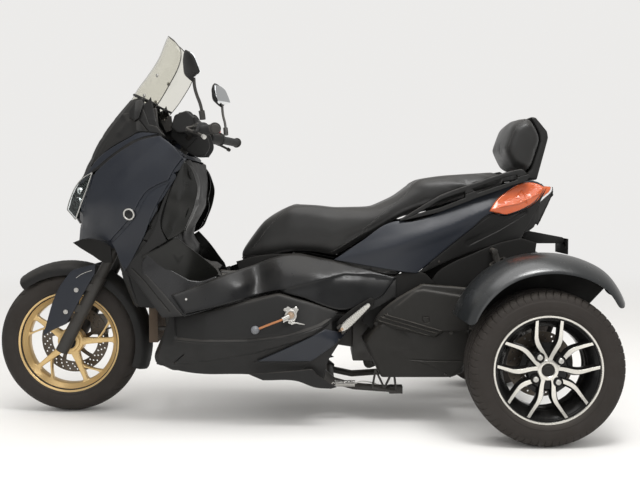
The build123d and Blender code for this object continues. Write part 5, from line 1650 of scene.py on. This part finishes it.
def buildControls():
    ends, keys = [], []
    for s, tag, tip in ((-1, "Left", "zincSteel"), (1, "Right", "frameBlack")):
        rodPiece("lever" + tag, "frameBlack", "steering", 0.0052, 12, onSide(controls["lever"], s))
        rodPiece("leverEnd" + tag, tip, "steering", 0.0078, 12, onSide(controls["knob"], s))
        end = lathe("gripEnd", controls["gripEnd"], steps=40, sharp=35)
        ends.append(turnInto(end, (-0.2495, s * 0.376, 1.0745), (0.27, s * 0.95, -0.13)))
        for y, z in controls["keys"]:
            keys.append(sweepTube("key", [(-0.306, s * y, z), (-0.302, s * (y + 0.006), z + 0.001)], 0.0052,
                10))
    dress(mergeInto("gripEnds", ends), "frameBlack", "steering")
    rodPiece("switchRed", "redSwitch", "steering", 0.0075, 12, controls["rocker"])
    dress(mergeInto("switchKeys", keys), "blackPlastic", "steering")


buildControls()
print("cockpit ready")


# parking lever, pegs, stand gear, shocks

parking = {
    "plate": [
        (-3, 452, 1), (2, 449), (9, 444), (15, 444), (25, 451), (31, 448, 1), (35, 440, 1), (30, 432),
        (28, 424), (27, 414), (23, 404), (22, 391, 1), (10, 386, 1), (4, 394), (-1, 400), (-9, 399),
        (-19, 393, 1), (-22, 404, 1), (-14, 411), (-13, 424), (-10, 434), (-16, 442, 1)
    ],
    # name, finish, section, place, steps around, sharp angle
    "turned": [
        (
            "parkingHub", "rustedSteel",
            [(0, -12), (5, -12), (6.5, -10.5), (6.5, -7), (11.5, -6.4), (12.5, -3), (12.5, 6), (0, 6)],
            (0.0075, -0.324, 0.421), 40, 35
        ),
        (
            "parkingRing", "zincSteel", [(15, -3), (18.5, -4.4), (21, -3), (21, 3), (15, 3)],
            (0.0075, -0.3245, 0.421), 48, 35
        ),
        (
            "parkingBall", "ballGrey",
            [(0, -15), (6, -13.8), (11, -10), (14, -5), (15, 0), (14, 5), (11, 10), (6, 13.8), (0, 15)],
            (-0.1175, -0.348, 0.372), 36, 80
        )
    ],
    # name, finish, radius, steps around, line
    "rods": [
        (
            "parkingRod", "copperRod", 0.0042, 12,
            [
                (-0.006, -0.338, 0.4155), (-0.02, -0.342, 0.409), (-0.06, -0.346, 0.394),
                (-0.104, -0.348, 0.377)
            ]
        ),
        (
            "parkingSleeve", "zincSteel", 0.0068, 14,
            [(0.002, -0.334, 0.419), (-0.008, -0.337, 0.415), (-0.022, -0.341, 0.4085)]
        ),
        (
            "parkingLink", "zincSteel", 0.0024, 10,
            [
                (0.008, -0.33, 0.402), (0.014, -0.334, 0.396), (0.03, -0.332, 0.394),
                (0.048, -0.327, 0.3895), (0.056, -0.322, 0.387)
            ]
        )
    ],
}


def buildParkingLever():
    pins = [(-20, 400, 322), (30, 400, 322), (0, 450, 322), (10, 420, 323)]
    ribs = [("rib", [(-8, 438), (-12, 445)], 1.5, 3), ("rib", [(22, 436), (28, 444)], 1.5, 3)]
    heightPanel("parkingPlate", parking["plate"], "zincSteel", pins=pins, roll=1.2, wall=4, cell=6,
                mirrored=False,
                stands=("parking_lever",), features=ribs)
    for name, finish, rows, place, steps, sharp in parking["turned"]:
        dress(lathe(name, rows, place, steps, sharp), finish, "chassis")
    for name, finish, radius, steps, points in parking["rods"]:
        rodPiece(name, finish, "chassis", radius, steps, points)
    bolts = [(x, -324, z, 0, -1, 0, 0.8) for x, z in ((-12, 441), (27, 441), (4, 396))]
    putAt("parkingBolts", boltHeads["flange"], bolts, "zincSteel", "chassis")


buildParkingLever()

peg = {
    # side view: length along the peg, half height of the tread face
    "rows": [
        (0, 7.0), (6, 9.5), (14, 12.0), (30, 13.5), (60, 12.6), (100, 10.2), (124, 8.2), (134, 6.6),
        (138, 4.4)
    ],
    "foot": (187.0, 362.0), "tip": (287.0, 453.0), "face": 293.5, "back": 276.0,
    "pin": [(0.183, 0.272, 0.358), (0.187, 0.284, 0.363), (0.19, 0.296, 0.367)],
}


def buildPegs():
    foot, tip = np.array(peg["foot"]), np.array(peg["tip"])
    along = (tip - foot) / np.linalg.norm(tip - foot)
    up = np.array([-along[1], along[0]])
    face, back = peg["face"], peg["back"]
    for s, tag in ((-1, "left"), (1, "right")):
        rings = []
        for i, (length, half) in enumerate(alongTable(peg["rows"], np.linspace(0, peg["rows"][-1][0], 70))):
            tooth = 1.1 if (i % 4 in (0, 1)) and 6 < i < 62 else 0.0
            middle = foot + along * length
            section = [(-half, back), (-half, face - 4), (-half + 2 + tooth, face - tooth),
                       (0, face - tooth * 1.6),
                       (half - 2 - tooth, face - tooth), (half, face - 4), (half, back)]
            rings.append([((middle[0] + up[0] * h) * mm, s * y * mm, (middle[1] + up[1] * h) * mm) for h,
                y in section])
        dress(solidRings("peg" + tag, rings, 30), "pegSteel", "peg_" + tag, "pillion_peg_" + tag)
        rodPiece("pegPin" + tag, "rustedSteel", "peg_" + tag, 0.0056, 12, onSide(peg["pin"], s))


buildPegs()


underGear = {
    # corners of the wire bracket in the side view, in mm, and the bars between them
    "corners": {"a": (317, 200), "b": (384, 202), "c": (306, 133), "d": (350, 131), "e": (394, 118)},
    "bars": ("ab", "ac", "ad", "bd", "be", "ce"),
    "tang": [(0.31, -0.216, 0.302), (0.322, -0.216, 0.278), (0.344, -0.214, 0.24), (0.352, -0.21, 0.202)],
    "hooks": [
        [(0.166, -0.19, 0.146), (0.16, -0.19, 0.15), (0.156, -0.186, 0.144)],
        [
            (0.242, -0.19, 0.146), (0.262, -0.19, 0.153), (0.3, -0.19, 0.15), (0.318, -0.188, 0.144),
            (0.322, -0.18, 0.14)
        ]
    ],
}


def buildUnderGear():
    # springs of the two rear shocks and of the stand, with its bracket
    for s, tag in ((-1, "Left"), (1, "Right")):
        foot, head = Vector((0.857, s * 0.205, 0.298)), Vector((0.752, s * 0.205, 0.640))
        way = (head - foot).normalized()
        coilSpring("shockSpring" + tag, foot + way * 0.135, head - way * 0.035, 0.0285, 0.0052, 8,
                   "frameBlack", "chassis")
    coilSpring("standSpring", (0.168, -0.190, 0.146), (0.240, -0.190, 0.146), 0.0105, 0.0022, 15,
               "zincSteel", "stand")
    spots = {key: (x * mm, -0.2, z * mm) for key, (x, z) in underGear["corners"].items()}
    bars = [sweepTube("bar", [spots[start], spots[end]], 0.0042, 12) for start, end in underGear["bars"]]
    dress(mergeInto("standBracket", bars), "frameBlack", "chassis")
    rodPiece("standTang", "ballGrey", "chassis", 0.0052, 12, underGear["tang"])
    hooks = [sweepTube("standHook", line, 0.0022, 8) for line in underGear["hooks"]]
    dress(mergeInto("standHooks", hooks), "zincSteel", "stand")


buildUnderGear()
refine("rear_shocks", "frameBlack", "chassis", 1.5)
print("gear ready")


# every other CAD node gets small rounded edges
plainNodes = {
    "frame": ("frameBlack", "chassis", 1.0), "engine": ("frameBlack", "chassis", 4.0),
    "radiator": ("heatCore", "chassis", 2.0), "axle_housing": ("frameBlack", "chassis", 2.0),
    "fender_stays": ("frameBlack", "chassis", 1.0), "storage_tub": ("blackPlastic", "chassis", 1.5),
    "plate_bracket": ("blackPlastic", "chassis", 1.2), "fork": ("frameBlack", "steering", 1.2),
    "handlebar": ("frameBlack", "steering", 0.8), "grips": ("gripRubber", "steering", 1.0),
    "front_caliper": ("castGrey", "steering", 2.0), "centre_stand": ("frameBlack", "stand", 1.5),
}
for node, (finish, body, bevel) in plainNodes.items():
    refine(node, finish, body, bevel)
print("plain nodes ready")


# camera, lamps, floor and white surroundings

def fadingFloor():
    # the floor turns into the colour of the surroundings far from the vehicle
    tree = finishes["floorPale"].node_tree
    add = nodeMaker(tree)
    skin = next(n for n in tree.nodes if n.type == "BSDF_PRINCIPLED")
    out = next(n for n in tree.nodes if n.type == "OUTPUT_MATERIAL")
    place = add("ShaderNodeNewGeometry")
    reach = add("ShaderNodeVectorMath", {0: place.outputs["Position"]}, operation="LENGTH")
    fade = add("ShaderNodeMapRange", {0: reach.outputs["Value"], 1: 1.6, 2: 7.0},
               interpolation_type="SMOOTHSTEP")
    glow = add("ShaderNodeEmission", {0: light["colour"], 1: light["seen"]})
    both = add("ShaderNodeMixShader", {0: fade.outputs[0], 1: skin.outputs[0], 2: glow.outputs[0]})
    tree.links.new(both.outputs[0], out.inputs[0])
    return finishes["floorPale"]


# name, place, size, power; every lamp looks at the middle of the vehicle
lamps = (
    ("ceilingLamp", (0.2, -0.6, 3.4), 3.2, 62.0),
    ("frontLamp", (-0.6, -3.6, 2.2), 2.6, 16.0),
    ("rearLamp", (0.9, -1.3, 2.6), 0.7, 30.0),
)


def setSurroundings():
    # a pale sky, dimmer where the camera or a shiny surface sees it
    world = bpy.data.worlds.new("surroundings")
    scene.world = world
    world.use_nodes = True
    world.node_tree.nodes.clear()
    add = nodeMaker(world.node_tree)
    ray = add("ShaderNodeLightPath").outputs
    straight = add("ShaderNodeMath", {0: ray["Is Camera Ray"], 1: ray["Is Transmission Ray"]},
                   operation="MAXIMUM")
    shiny = add("ShaderNodeMapRange", {0: ray["Is Glossy Ray"], 3: light["sky"], 4: light["mirrored"]})
    strength = add("ShaderNodeMapRange", {0: straight.outputs[0], 3: shiny.outputs[0], 4: light["seen"]})
    sky = add("ShaderNodeBackground", {0: light["colour"], 1: strength.outputs[0]})
    add("ShaderNodeOutputWorld", {0: sky.outputs[0]})


def setStage():
    camera = addObject("camera", bpy.data.cameras.new("camera"))
    camera.location = shot["place"]
    camera.rotation_euler = (math.radians(90 - shot["pitch"]), 0, 0)
    camera.data.lens = shot["lens"]
    camera.data.sensor_width = shot["sensor"]
    scene.camera = camera
    for name, place, size, power in lamps:
        lamp = addObject(name, bpy.data.lights.new(name, "AREA"))
        lamp.location = place
        lamp.data.size = size
        lamp.data.energy = power
        lamp.rotation_euler = (Vector((0, 0, 0.6)) - Vector(place)).to_track_quat("-Z", "Y").to_euler()
    setSurroundings()
    floor = addMesh("floor", [(-60, -60, 0), (60, -60, 0), (60, 60, 0), (-60, 60, 0)], [(0, 1, 2, 3)])
    floor.data.materials.append(fadingFloor())
    scene.view_settings.view_transform = "Standard"


setStage()
for obj in heads:
    bpy.data.objects.remove(obj)
print("stage ready")
